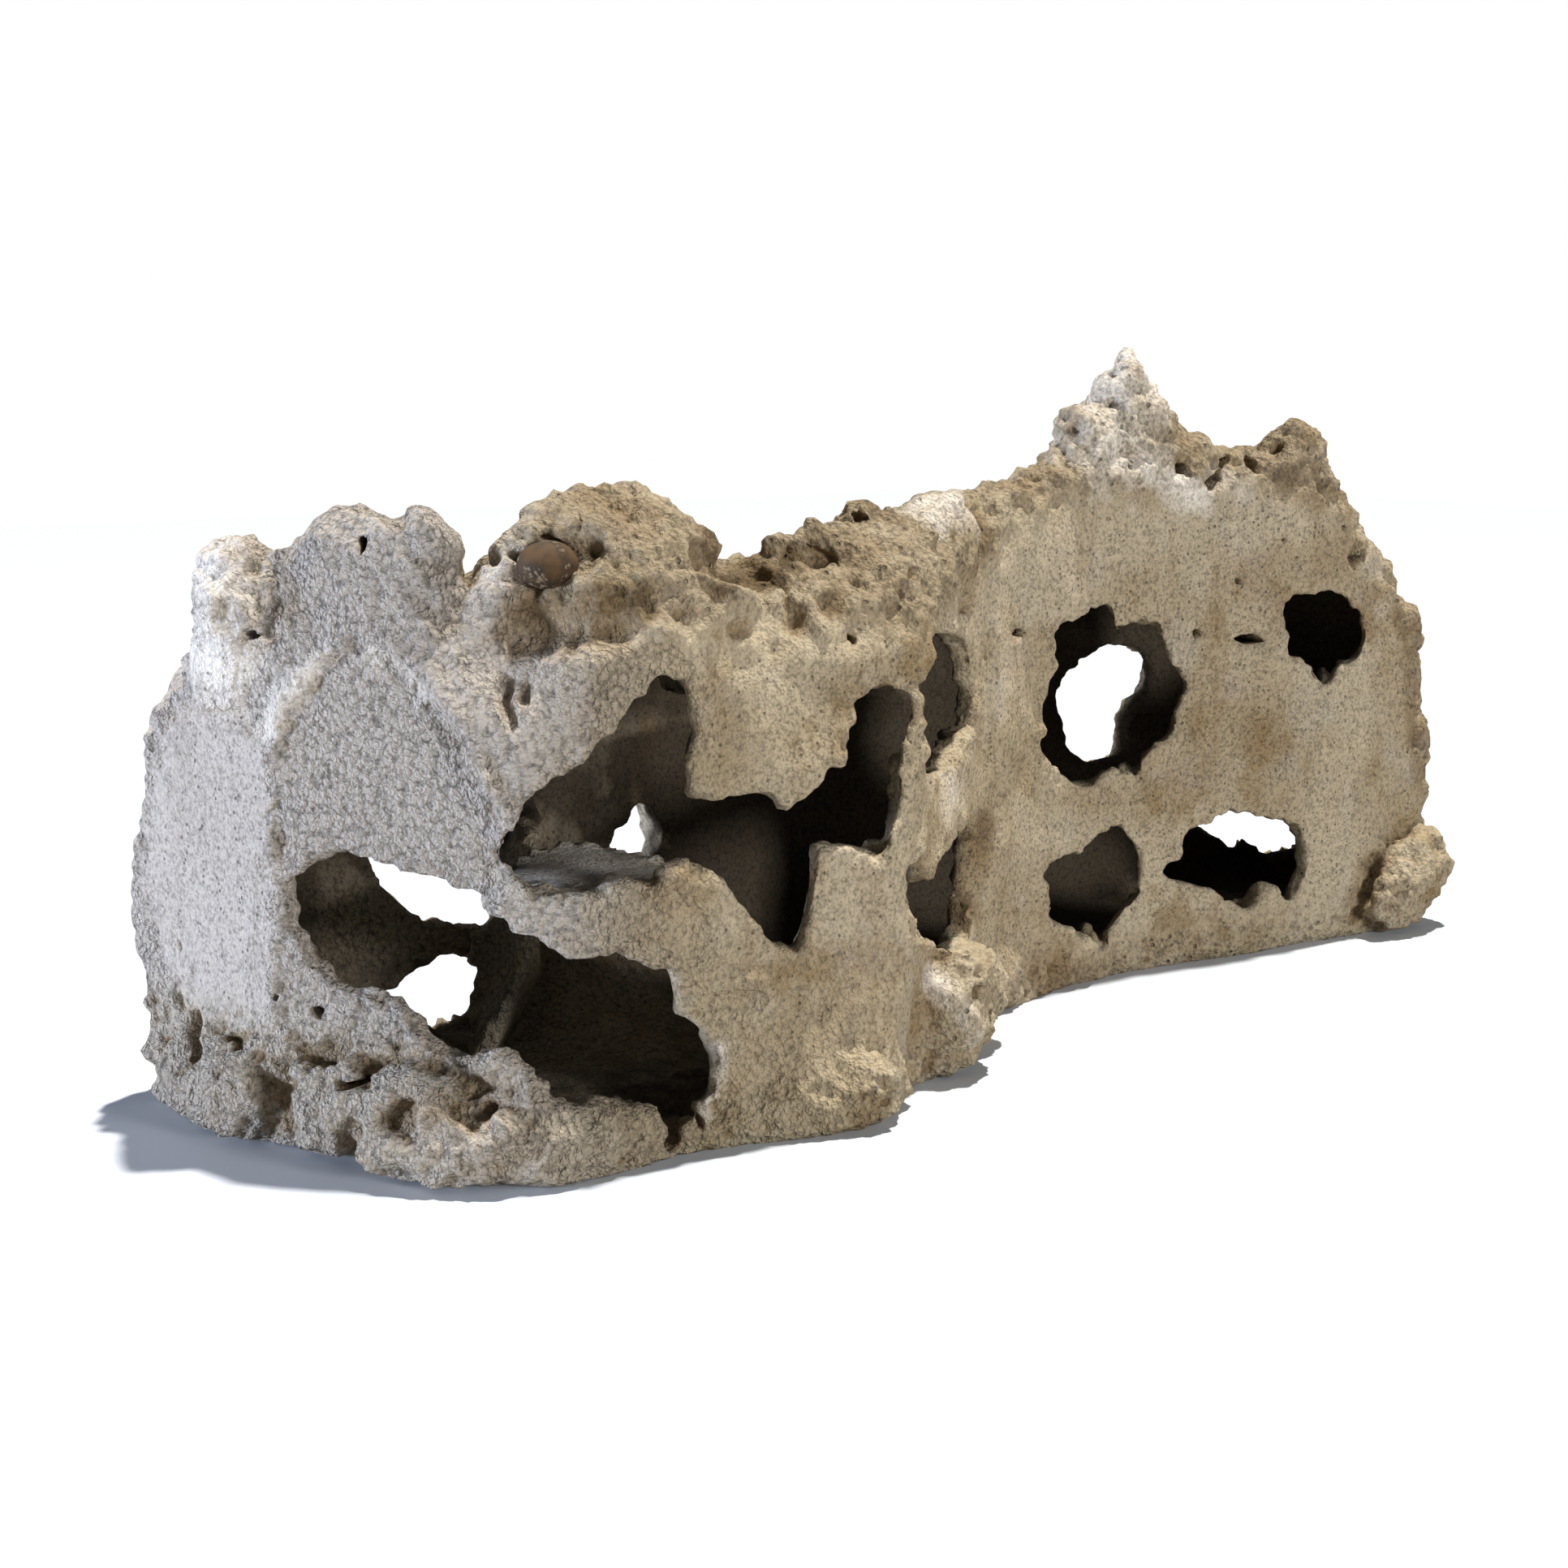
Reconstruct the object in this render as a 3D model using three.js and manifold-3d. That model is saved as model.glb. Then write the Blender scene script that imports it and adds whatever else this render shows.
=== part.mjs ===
// Holey limestone: a long hollow cave rock with thin walls and ragged windows, and a pebble in its crest.
// Millimetres, +Z up. The front faces -Y, the tall peak stands at the +X end, the foot rests on z = 0.
import * as THREE from 'three';
import { ImprovedNoise } from 'three/addons/math/ImprovedNoise.js';
import { mergeVertices } from 'three/addons/utils/BufferGeometryUtils.js';
import Module from 'manifold-3d';

const wasm = await Module();
wasm.setup();

// Driving dimensions
const wallThickness = 9.5;
const floorThickness = 7.5;
const stationCount = 52;        // rings along the outer skin
const cavityStationCount = 25;  // rings along the hollow
const skinRoughness = 2.6;      // how far the walls swing in and out
const crestRoughness = 5.5;     // the same near the crest
const cavityRoughness = 1.6;
const bellyBulge = 4;           // how far the walls swell at mid height
const footHeight = 46;          // the crusty foot fades out at this height
const rimRaggedness = 1.8;      // how far window rims wander from their outline
const leanFrom = 1.5;           // a leaning cut starts this far outside the wall's face
const leanDepth = 15;           // and ends this far inside it
const facetDepth = 0.9;         // how deep the two flat facets at the left end are dressed
const pebbleGap = 0.4;

// Plan of the rock, left end to right end: where the front and back walls stand, the roof behind the
// crest, the inward run and drop of the two shoulders, how far the foot sticks out and how round the
// bottom of the hollow is.
const plan = [
  { front: [-276, 12], back: [-292, 84], roof: 160, run: 20, drop: 30, backRun: 46, backDrop: 62, foot: 0, bowl: 8 },
  { front: [-262, -9], back: [-281, 90], roof: 170, run: 24, drop: 30, backRun: 50, backDrop: 52, foot: 2, bowl: 10 },
  { front: [-244, -34], back: [-262, 89], roof: 174, run: 24, drop: 32, backRun: 42, backDrop: 40, foot: 14, bowl: 10 },
  { front: [-227, -57], back: [-240, 84], roof: 172, run: 32, drop: 40, backRun: 36, backDrop: 34, foot: 20, bowl: 12 },
  { front: [-205, -69], back: [-212, 81], roof: 174, run: 46, drop: 44, backRun: 34, backDrop: 30, foot: 8, bowl: 14 },
  { front: [-180, -73], back: [-185, 79], roof: 176, run: 46, drop: 46, backRun: 32, backDrop: 30, foot: 0, bowl: 22 },
  { front: [-155, -76], back: [-158, 78], roof: 176, run: 46, drop: 46, backRun: 32, backDrop: 30, foot: 2, bowl: 46 },
  { front: [-130, -78], back: [-130, 79], roof: 174, run: 46, drop: 44, backRun: 32, backDrop: 30, foot: 6, bowl: 50 },
  { front: [-106, -79], back: [-102, 81], roof: 176, run: 44, drop: 44, backRun: 32, backDrop: 30, foot: 9, bowl: 40 },
  { front: [-86, -78], back: [-74, 85], roof: 178, run: 40, drop: 40, backRun: 32, backDrop: 30, foot: 2, bowl: 30 },
  { front: [-71, -73], back: [-52, 90], roof: 180, run: 34, drop: 34, backRun: 32, backDrop: 30, foot: -8, bowl: 26 },
  { front: [-52, -58], back: [-32, 94], roof: 181, run: 30, drop: 30, backRun: 32, backDrop: 30, foot: 2, bowl: 24 },
  { front: [-34, -44], back: [-12, 98], roof: 182, run: 26, drop: 28, backRun: 32, backDrop: 30, foot: 7, bowl: 22 },
  { front: [-15, -30], back: [7, 101], roof: 182, run: 22, drop: 26, backRun: 30, backDrop: 28, foot: 3, bowl: 22 },
  { front: [5, -16], back: [25, 103], roof: 183, run: 20, drop: 24, backRun: 30, backDrop: 28, foot: 2, bowl: 22 },
  { front: [27, -6], back: [46, 105], roof: 184, run: 18, drop: 24, backRun: 30, backDrop: 28, foot: 2, bowl: 22 },
  { front: [51, 1], back: [68, 106], roof: 186, run: 16, drop: 24, backRun: 30, backDrop: 28, foot: 2, bowl: 22 },
  { front: [77, 5], back: [90, 107], roof: 190, run: 16, drop: 26, backRun: 30, backDrop: 28, foot: 3, bowl: 22 },
  { front: [102, 8], back: [112, 108], roof: 192, run: 16, drop: 30, backRun: 30, backDrop: 28, foot: 3, bowl: 22 },
  { front: [127, 7], back: [134, 108], roof: 192, run: 16, drop: 28, backRun: 30, backDrop: 28, foot: 4, bowl: 20 },
  { front: [152, 3], back: [157, 107], roof: 190, run: 16, drop: 26, backRun: 30, backDrop: 28, foot: 4, bowl: 18 },
  { front: [177, -1], back: [180, 106], roof: 190, run: 16, drop: 26, backRun: 30, backDrop: 28, foot: 3, bowl: 16 },
  { front: [202, -4], back: [203, 104], roof: 190, run: 16, drop: 28, backRun: 32, backDrop: 30, foot: 2, bowl: 14 },
  { front: [227, -6], back: [226, 101], roof: 186, run: 16, drop: 28, backRun: 34, backDrop: 32, foot: 2, bowl: 12 },
  { front: [251, -6], back: [248, 96], roof: 174, run: 16, drop: 30, backRun: 36, backDrop: 36, foot: 4, bowl: 12 },
  { front: [272, -5], back: [266, 88], roof: 156, run: 15, drop: 30, backRun: 36, backDrop: 40, foot: 4, bowl: 12 },
  { front: [287, -2], back: [279, 76], roof: 130, run: 14, drop: 30, backRun: 30, backDrop: 40, foot: 0, bowl: 12 },
  { front: [297, 9], back: [288, 62], roof: 98, run: 12, drop: 26, backRun: 20, backDrop: 34, foot: -4, bowl: 10 },
];

// Height of the crest against the distance walked along the front wall from the left corner.
const crest = [
  [0, 170], [10, 184], [20, 199], [32, 205], [43, 202], [54, 205], [64, 198], [74, 184], [84, 177], [96, 176],
  [107, 185], [113, 200], [119, 211], [128, 215], [150, 217], [168, 210], [178, 197], [188, 187], [197, 189], [206, 198],
  [222, 200], [248, 203], [272, 205], [312, 210], [335, 207], [365, 208], [405, 213], [419, 226], [431, 239],
  [442, 246], [453, 257], [462, 250], [475, 239], [491, 226], [503, 220], [515, 219], [531, 226], [547, 232],
  [560, 222], [572, 204], [586, 190], [600, 175], [612, 157], [626, 135], [640, 112],
];

// Windows: a point on the wall, the way the wall faces (degrees from the front), how deep the cut goes
// inwards and outwards, and the rim as [across, up] from that point. Where the wall is broken to a thin
// edge, lean is how far the cut spreads to the right per millimetre of depth.
const windows = [
  // low opening that wraps round the left corner
  { at: [-250, -24, 70], facing: -53.4, inward: 27, outward: 40, rim: [[-38, 9], [-38, 20], [-30, 29],
    [-19, 32], [-6, 30], [10, 27], [27, 22], [41, 17], [42, 11], [54, 7], [52, -26], [36, -30], [24, -34],
    [12, -28], [2, -18], [-10, -14], [-20, -14], [-30, -6]] },
  { at: [-180, -68, 50], facing: -7.2, inward: 26, outward: 40, lean: 0.5, rim: [[-52, 30], [-37, 27], [-29, 22],
    [-13, 22], [-3, 16], [6, 12], [8, 1], [17, -8], [22, -20], [20, -33], [12, -40], [8, -47], [1, -46],
    [3, -36], [-6, -31], [-19, -28], [-29, -31], [-38, -22], [-46, -12], [-52, -8]] },
  // middle opening with the hanging tongue and the front pillar
  { at: [-150, -72, 110], facing: -7.2, inward: 24, outward: 36, lean: 0.6, rim: [[-79, -6], [-76, 3], [-67, 17],
    [-54, 24], [-44, 32], [-37, 42], [-28, 50], [-19, 47], [-14, 30], [-18, 17], [-17, 9], [-4, 9],
    [12, 7], [18, 2], [32, 11], [43, 18], [48, 34], [57, 39], [67, 36], [70, 30], [63, 13], [61, -6],
    [58, -17], [44, -13], [31, -11], [28, -16], [28, -34], [23, -47], [11, -41], [1, -27], [-6, -17],
    [-21, -11], [-32, -17], [-42, -14], [-53, -18], [-70, -16]] },
  // two openings in the waist
  { at: [-33, -45, 160], facing: 37.3, inward: 26, outward: 16, rim: [[-52, -26], [-50, -12], [-40, 0],
    [-22, 2], [2, 1], [24, -4], [38, -12], [45, -28], [40, -40], [20, -43], [0, -48], [-24, -49],
    [-44, -42]] },
  { at: [-33, -45, 90], facing: 37.3, inward: 26, outward: 16, rim: [[-58, -6], [-47, -3], [-40, -9],
    [-33, -16], [-26, -8], [-8, -6], [16, -4], [39, -6], [46, -18], [42, -34], [33, -50], [12, -53],
    [-8, -49], [-26, -40], [-44, -32], [-56, -22]] },
  // the two openings of the right half that show daylight, and two that don't
  { at: [101, 6, 140], facing: 0, inward: 24, outward: 20, lean: 1.05, rim: [[-40, 9], [-26, 14], [-17, 19], [-9, 17],
    [-6, 10], [-2, 4], [2, 9], [20, 8], [26, -4], [37, -18], [31, -29], [29, -38], [12, -47], [11, -54],
    [-3, -50], [-18, -55], [-30, -52], [-44, -42], [-49, -34], [-47, -20], [-38, -4]] },
  { at: [165, 2, 50], facing: 0, inward: 24, outward: 20, lean: 1.05, rim: [[-38, -5], [-29, -1], [-25, 9], [-12, 12],
    [-3, 15], [21, 10], [34, 7], [43, -5], [43, -17], [35, -29], [21, -21], [8, -30], [0, -25],
    [-10, -19], [-24, -16], [-34, -12]] },
  { at: [82, 4, 65], facing: 0, inward: 24, outward: 20, lean: 1.05, rim: [[-25, -11], [-15, -7], [-4, -8], [3, -3],
    [16, 2], [25, -6], [31, -17], [31, -31], [18, -38], [9, -51], [-7, -43], [-21, -33], [-23, -22]] },
  { at: [225, -6, 155], facing: 0, inward: 26, outward: 20, lean: 1.1, rim: [[-37, -4], [-27, 2], [-12, 3], [0, 0],
    [10, -8], [14, -20], [10, -28], [-2, -31], [-8, -38], [-14, -29], [-28, -24], [-31, -13]] },
  // openings of the back wall, seen only as patches of daylight from the front
  { at: [-190, 76, 74], facing: 180, inward: 24, outward: 22, rim: [[24, 10], [16, 26], [-2, 34],
    [-20, 27], [-30, 8], [-29, -26], [-16, -25], [-2, -22], [4, -17], [14, -6]] },
  { at: [-190, 76, 40], facing: 180, inward: 24, outward: 22, rim: [[20, -12], [12, -10], [5, -5],
    [-5, -2], [-16, -3], [-27, -10], [-25, -24], [-24, -31], [-12, -32], [0, -30], [12, -19]] },
  { at: [-100, 78, 90], facing: 180, inward: 24, outward: 22, rim: [[7, -20], [0, -10], [-11, -5],
    [-17, -15], [-16, -34], [-5, -33], [5, -28]] },
  { at: [180, 104, 100], facing: 180, inward: 24, outward: 22, rim: [[29, 8], [17, 21], [-2, 26],
    [-16, 26], [-29, 19], [-28, 6], [-21, -4], [-16, -16], [-17, -28], [2, -29], [19, -21], [25, -10]] },
  { at: [256, 90, 40], facing: 152, inward: 34, outward: 26, rim: [[14, -8], [18, 14], [4, 30], [-16, 34],
    [-32, 22], [-36, -18], [-20, -20], [-9, -13], [-4, -19], [5, -12]] },
];

// The two flat facets at the left end, dressed back to a plane: the front one has an arched top.
const facets = [
  { at: [-250, -24, 70], facing: -53.4, rim: [[-41, 62], [-31, 77], [-21, 94], [-10, 101], [1, 98], [15, 86],
    [28, 69], [39, 50], [38, 20], [20, -20], [-20, -40], [-42, -36]] },
  { at: [-284, 48, 80], facing: -76.8, rim: [[-28, 37], [-14, 61], [2, 66], [30, 66], [37, 50], [36, -30],
    [24, -47], [-20, -46], [-32, -19], [-36, 10]] },
];

// Lumps that stand on the crest and cling to the foot: centre, half sizes and the fineness of the ball.
const lumps = [
  { at: [-268, 35, 160], size: [19, 24, 44], fine: 2 },
  { at: [-249, 33, 174], size: [18, 20, 24], fine: 1 },
  { at: [-197, -38, 200], size: [12, 12, 13], fine: 1 },
  { at: [-184, -36, 200], size: [16, 15, 14], fine: 1 },
  { at: [-183, -63, 171], size: [23, 7, 10], fine: 1 },
  { at: [-158, -24, 203], size: [18, 14, 13], fine: 1 },
  { at: [-68, -34, 201], size: [8, 7, 7], fine: 1 },
  { at: [113, 22, 240], size: [13, 11, 18], fine: 1 },
  { at: [94, 20, 226], size: [14, 12, 16], fine: 1 },
  { at: [205, 9, 216], size: [17, 12, 16], fine: 1 },
  // foot and knobs
  { at: [-262, -8, 20], size: [17, 21, 20], fine: 1 },
  { at: [-106, -80, 15], size: [15, 13, 15], fine: 1 },
  { at: [-46, -55, 29], size: [24, 16, 26], fine: 2 },
  { at: [-20, -36, 22], size: [20, 14, 20], fine: 1 },
  { at: [40, 103, 14], size: [34, 13, 16], fine: 1 },
  { at: [-222, 82, 12], size: [30, 12, 15], fine: 1 },
];

// Larger masses, each one skin drawn tight over several balls: the twin hump above the arched facet, the
// saddle beside it, two lobes of the foot at the left and the block at the right end.
const masses = [
  [{ at: [-250, 0, 197], size: [14, 14, 15] }, { at: [-234, -22, 197], size: [12, 12, 14] },
    { at: [-252, 6, 155], size: [16, 16, 20] }, { at: [-232, -24, 155], size: [15, 15, 20] }],
  [{ at: [-222, -36, 168], size: [10, 10, 13] }, { at: [-206, -43, 170], size: [9, 9, 12] },
    { at: [-203, -38, 197], size: [10, 10, 11] }, { at: [-214, -32, 150], size: [12, 12, 14] }],
  [{ at: [-285, 62, 13], size: [11, 22, 15] }, { at: [-280, 28, 17], size: [12, 18, 19] }],
  [{ at: [-249, -38, 18], size: [21, 19, 19] }, { at: [-226, -61, 14], size: [26, 13, 17] }],
  [{ at: [253, -13, 18], size: [13, 11, 17] }, { at: [266, -14, 22], size: [13, 12, 19] },
    { at: [282, -8, 28], size: [14, 13, 20] }],
];

// Hollows in the crest and foot: centre and half sizes.
const pits = [
  { at: [-240, -12, 215], size: [5, 14, 8] },
  { at: [-137, -54, 188], size: [13, 13, 9] },
  { at: [-107, -56, 193], size: [13, 11, 6] },
  { at: [-292, 50, 25], size: [9, 9, 10] },
  { at: [-282, 4, 23], size: [7, 6, 10] },
  { at: [-263, -54, 25], size: [8, 8, 9] },
  { at: [-243, -67, 27], size: [9, 7, 6] },
  { at: [-9, -27, 171], size: [9, 7, 6] },
  { at: [232, -6, 174], size: [7, 7, 7] },
];

// The partition: balls that its skin is drawn tight over, and the two chambers that hollow its sides.
const partitionBalls = [
  { at: [-192, 27, 8], size: [4, 4, 4] }, { at: [-186, 23, 34], size: [4, 4, 4] },
  { at: [-174, 21, 58], size: [4, 4, 4] }, { at: [-172, 4, 78], size: [4, 4, 4] },
  { at: [-148, 84, 10], size: [10, 8, 8] }, { at: [-148, 84, 98], size: [10, 8, 8] },
];
const partitionHollows = [
  { at: [-118, 8, 60], size: [60, 60, 64], fine: 2 },
  { at: [-224, 44, 62], size: [53, 46, 60], fine: 2 },
];

const pebble = { at: [-203, -48, 194], size: [10.5, 9, 8.2] };

const noise = new ImprovedNoise();

function rough(point, wavelength, seed) {
  return noise.noise(point.x / wavelength + seed, point.y / wavelength - seed, point.z / wavelength + 0.5);
}

function toSolid(geometry) {
  const bare = new THREE.BufferGeometry();
  bare.setAttribute('position', geometry.getAttribute('position').clone());
  if (geometry.index) bare.setIndex(geometry.index.clone());
  const welded = mergeVertices(bare, 1e-4);
  return new wasm.Manifold(new wasm.Mesh({
    numProp: 3,
    vertProperties: new Float32Array(welded.getAttribute('position').array),
    triVerts: new Uint32Array(welded.index.array),
  }));
}

function toGeometry(solid) {
  const mesh = solid.getMesh();
  const geometry = new THREE.BufferGeometry();
  geometry.setAttribute('position', new THREE.Float32BufferAttribute(mesh.vertProperties, 3));
  geometry.setIndex(Array.from(mesh.triVerts));
  geometry.computeVertexNormals();
  return geometry;
}

// Joins rings of points into one closed skin. Each ring runs the same way round.
function loft(rings) {
  const points = rings.flat();
  const around = rings[0].length;
  const faces = [];
  for (let ring = 0; ring + 1 < rings.length; ring += 1) {
    for (let step = 0; step < around; step += 1) {
      const next = (step + 1) % around;
      const a = ring * around + step;
      const b = ring * around + next;
      const c = a + around;
      const d = b + around;
      if ((ring + step) % 2 === 0) faces.push(a, c, b, b, c, d);
      else faces.push(a, c, d, a, d, b);
    }
  }
  for (const ring of [0, rings.length - 1]) {
    const start = ring * around;
    const middle = new THREE.Vector3();
    rings[ring].forEach((p) => middle.addScaledVector(p, 1 / around));
    points.push(middle);
    for (let step = 0; step < around; step += 1) {
      const edge = [start + step, start + (step + 1) % around];
      if (ring > 0) edge.reverse();
      faces.push(...edge, points.length - 1);
    }
  }
  const geometry = new THREE.BufferGeometry();
  geometry.setAttribute('position', new THREE.Float32BufferAttribute(points.flatMap((p) => [p.x, p.y, p.z]), 3));
  geometry.setIndex(faces);
  return geometry;
}

// Moves each corner of the plan inwards by the wall thickness.
function insetPlan(stations, distance) {
  const loop = [...stations.map((s) => s.front), ...stations.map((s) => s.back).reverse()];
  const corners = loop.map((p) => new THREE.Vector2(...p));
  const moved = corners.map((corner, i) => {
    const before = corners[(i + corners.length - 1) % corners.length];
    const after = corners[(i + 1) % corners.length];
    const into = corner.clone().sub(before).normalize();
    const away = after.clone().sub(corner).normalize();
    const normalIn = new THREE.Vector2(-into.y, into.x);
    const normalOut = new THREE.Vector2(-away.y, away.x);
    const middle = normalIn.clone().add(normalOut).normalize();
    return corner.clone().add(middle.multiplyScalar(distance / Math.max(0.6, middle.dot(normalIn))));
  });
  const count = stations.length;
  return stations.map((station, i) => ({
    ...station,
    front: moved[i].toArray(),
    back: moved[2 * count - 1 - i].toArray(),
  }));
}

// Height of the crest at a distance along the front wall.
function crestAt(distance) {
  const next = crest.findIndex(([reach]) => reach >= distance);
  if (next <= 0) return next < 0 ? crest[crest.length - 1][1] : crest[0][1];
  const [from, low] = crest[next - 1];
  const [to, high] = crest[next];
  return THREE.MathUtils.mapLinear(distance, from, to, low, high);
}

// Reads the plan at even steps along the rock.
function resample(stations, count) {
  const path = (pick) => new THREE.CatmullRomCurve3(stations.map(pick), false, 'catmullrom', 0.4);
  const front = path((s) => new THREE.Vector3(s.front[0], s.front[1], s.roof));
  const back = path((s) => new THREE.Vector3(s.back[0], s.back[1], s.bowl));
  const shoulders = path((s) => new THREE.Vector3(s.run, s.drop, s.foot));
  const backShoulders = path((s) => new THREE.Vector3(s.backRun, s.backDrop, 0));
  let walked = 0;
  let last = null;
  return Array.from({ length: count }, (unused, i) => {
    const t = i / (count - 1);
    const start = front.getPoint(t);
    const end = back.getPoint(t);
    const shoulder = shoulders.getPoint(t);
    const backShoulder = backShoulders.getPoint(t);
    const foot = new THREE.Vector2(start.x, start.y);
    if (last) walked += foot.distanceTo(last);
    last = foot;
    return {
      front: foot,
      across: new THREE.Vector2(end.x - start.x, end.y - start.y),
      roof: start.z,
      bowl: end.z,
      run: shoulder.x,
      drop: shoulder.y,
      foot: shoulder.z,
      backRun: backShoulder.x,
      backDrop: backShoulder.y,
      walked,
    };
  });
}

// A point of a quarter of an ellipse that leaves the wall upwards and ends level.
function quarter(run, rise, angle) {
  return [run * (1 - Math.cos(angle)), rise * Math.sin(angle)];
}

// One ring of the outer skin: up the front wall, over crest and roof, down the back wall, home below.
function outerRing(station) {
  const { front, roof, run, drop, backRun, backDrop, foot, walked } = station;
  const width = station.across.length();
  const across = station.across.clone().normalize();
  const top = crestAt(walked);
  const flareAt = (z) => (z < footHeight ? 1 - (z / footHeight) ** 2 : 0);
  const bellyAt = (z) => bellyBulge * Math.sin(Math.min(1, z / 150) * Math.PI) ** 2;
  const profile = [];
  const frontWallTop = top - drop;
  for (const z of [0, 14, 34, 60, 90, 118]) {
    profile.push([-foot * flareAt(z) - bellyAt(z), z * Math.min(1, frontWallTop / 132)]);
  }
  for (const angle of [0, 0.5, 1.0, 1.45]) {
    const [inward, up] = quarter(run, drop, angle);
    profile.push([inward, frontWallTop + up]);
  }
  const low = Math.min(roof, top - 4);
  const crestEnd = run + 12;
  const roofEnd = Math.max(crestEnd + 4, width - backRun * 0.62);
  profile.push([crestEnd, Math.max(low, top - 7)]);
  profile.push([THREE.MathUtils.lerp(crestEnd, roofEnd, 0.35), low + (top - low) * 0.15]);
  profile.push([THREE.MathUtils.lerp(crestEnd, roofEnd, 0.8), low - 1]);
  const backTop = low - 3;
  for (const angle of [1.15, 0.65, 0.15]) {
    const [inward, up] = quarter(backRun, backDrop, angle);
    profile.push([width - inward, backTop - backDrop + up]);
  }
  const backWallTop = backTop - backDrop;
  for (const part of [0.78, 0.52, 0.26, 0]) {
    const z = backWallTop * part;
    profile.push([width + bellyAt(z) * 1.4 + foot * 0.4 * flareAt(z), z]);
  }
  profile.push([width * 0.68, 0], [width * 0.34, 0]);
  return profile.map(([along, z]) => {
    const point = new THREE.Vector3(front.x + across.x * along, front.y + across.y * along, z);
    const craggy = THREE.MathUtils.smoothstep(z, 150, 190);
    const strength = THREE.MathUtils.lerp(skinRoughness, crestRoughness, craggy);
    const swing = strength * (rough(point, 37, 3.1) * 1.4 + rough(point, 17, 8.7) * 0.9);
    const rise = z > roof - 24 ? (z - roof * 0.6) : 0;
    const out = new THREE.Vector2(along - width / 2, rise).normalize();
    point.x += across.x * out.x * swing;
    point.y += across.y * out.x * swing;
    if (z > 0) point.z += out.y * swing * 0.6;
    return point;
  });
}

// One ring of the hollow, inside the outer ring of the same place.
function cavityRing(station) {
  const { front, roof, run, drop, backRun, backDrop, bowl } = station;
  const width = station.across.length();
  const across = station.across.clone().normalize();
  const top = roof - wallThickness * 1.2;
  const lip = Math.min(16, width * 0.2);
  const frontRun = Math.max(14, run * 0.9);
  const frontDrop = Math.max(20, drop * 0.8);
  const wallTop = top - frontDrop;
  const backWallTop = top - 3 - backDrop;
  const profile = [[lip, floorThickness], [0, floorThickness + lip]];
  for (const part of [0.36, 0.62, 0.84]) profile.push([0, wallTop * part]);
  for (const angle of [0, 0.55, 1.15]) {
    const [inward, up] = quarter(frontRun, frontDrop, angle);
    profile.push([inward, wallTop + up]);
  }
  profile.push([width * 0.58, top]);
  for (const angle of [1.1, 0.55, 0]) {
    const [inward, up] = quarter(backRun * 0.9, backDrop, angle);
    profile.push([width - inward, backWallTop + up]);
  }
  const bend = Math.min(bowl, width * 0.45);
  profile.push([width, THREE.MathUtils.lerp(backWallTop, floorThickness + bend, 0.55)]);
  for (const angle of [0, 0.55, 1.05]) {
    profile.push([width - bend * (1 - Math.cos(angle)), floorThickness + bend * (1 - Math.sin(angle))]);
  }
  profile.push([width - bend, floorThickness], [(width - bend + lip) / 2, floorThickness]);
  return profile.map(([along, z]) => {
    const point = new THREE.Vector3(front.x + across.x * along, front.y + across.y * along, z);
    const swing = cavityRoughness * rough(point, 31, 14.2) * 1.6;
    const side = Math.sign(along - width / 2);
    point.x += across.x * side * swing;
    point.y += across.y * side * swing;
    return point;
  });
}

// A ball pushed in and out by noise, then stretched to its half sizes.
function ball({ at, size, fine = 1 }, bumpiness, seed) {
  const geometry = new THREE.IcosahedronGeometry(1, fine);
  const position = geometry.getAttribute('position');
  const point = new THREE.Vector3();
  for (let i = 0; i < position.count; i += 1) {
    point.fromBufferAttribute(position, i);
    const push = 1 + bumpiness * (rough(point, 0.8, seed) + 0.4 * rough(point, 0.4, seed + 5));
    point.multiplyScalar(push);
    position.setXYZ(i, at[0] + point.x * size[0], at[1] + point.y * size[1], at[2] + point.z * size[2]);
  }
  return toSolid(geometry);
}

// A prism through the wall with the ragged rim of one window, and one that leans where its rim is thin.
function windowCut({ at, facing, inward, outward, lean, rim }, seed) {
  const turn = THREE.MathUtils.degToRad(facing);
  const right = new THREE.Vector3(Math.cos(turn), Math.sin(turn), 0);
  const out = new THREE.Vector3(Math.sin(turn), -Math.cos(turn), 0);
  const ragged = rim.map(([across, up], i) => new THREE.Vector2(
    across + rimRaggedness * noise.noise(i * 1.7, seed, 0.3),
    up + rimRaggedness * noise.noise(i * 1.3, seed, 7.7),
  ));
  const shape = new THREE.Shape(ragged);
  const prism = (from, to, leaning) => {
    const geometry = new THREE.ExtrudeGeometry(shape, { depth: to - from, bevelEnabled: false });
    const along = out.clone().addScaledVector(right, -leaning);
    const start = new THREE.Vector3(...at).addScaledVector(out, from);
    start.addScaledVector(right, leaning * (to - from));
    const turned = new THREE.Matrix4().makeBasis(right, new THREE.Vector3(0, 0, 1), along);
    geometry.applyMatrix4(turned.setPosition(start));
    return toSolid(geometry);
  };
  const straight = prism(-inward, outward, 0);
  return lean ? straight.add(prism(-leanDepth, leanFrom, lean)) : straight;
}

// A crooked slab, used for the shelf inside the hollow.
function slab(outline, thickness, matrix) {
  const shape = new THREE.Shape(outline.map(([x, y]) => new THREE.Vector2(x, y)));
  const geometry = new THREE.ExtrudeGeometry(shape, { depth: thickness, bevelEnabled: false });
  geometry.applyMatrix4(matrix);
  return toSolid(geometry);
}

function keepLargest(solid) {
  const pieces = solid.decompose();
  return pieces.reduce((best, piece) => (piece.volume() > best.volume() ? piece : best));
}

const outerSkin = toSolid(loft(resample(plan, stationCount).map(outerRing)));
const hollow = toSolid(loft(resample(insetPlan(plan, wallThickness), cavityStationCount).map(cavityRing)));

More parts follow.
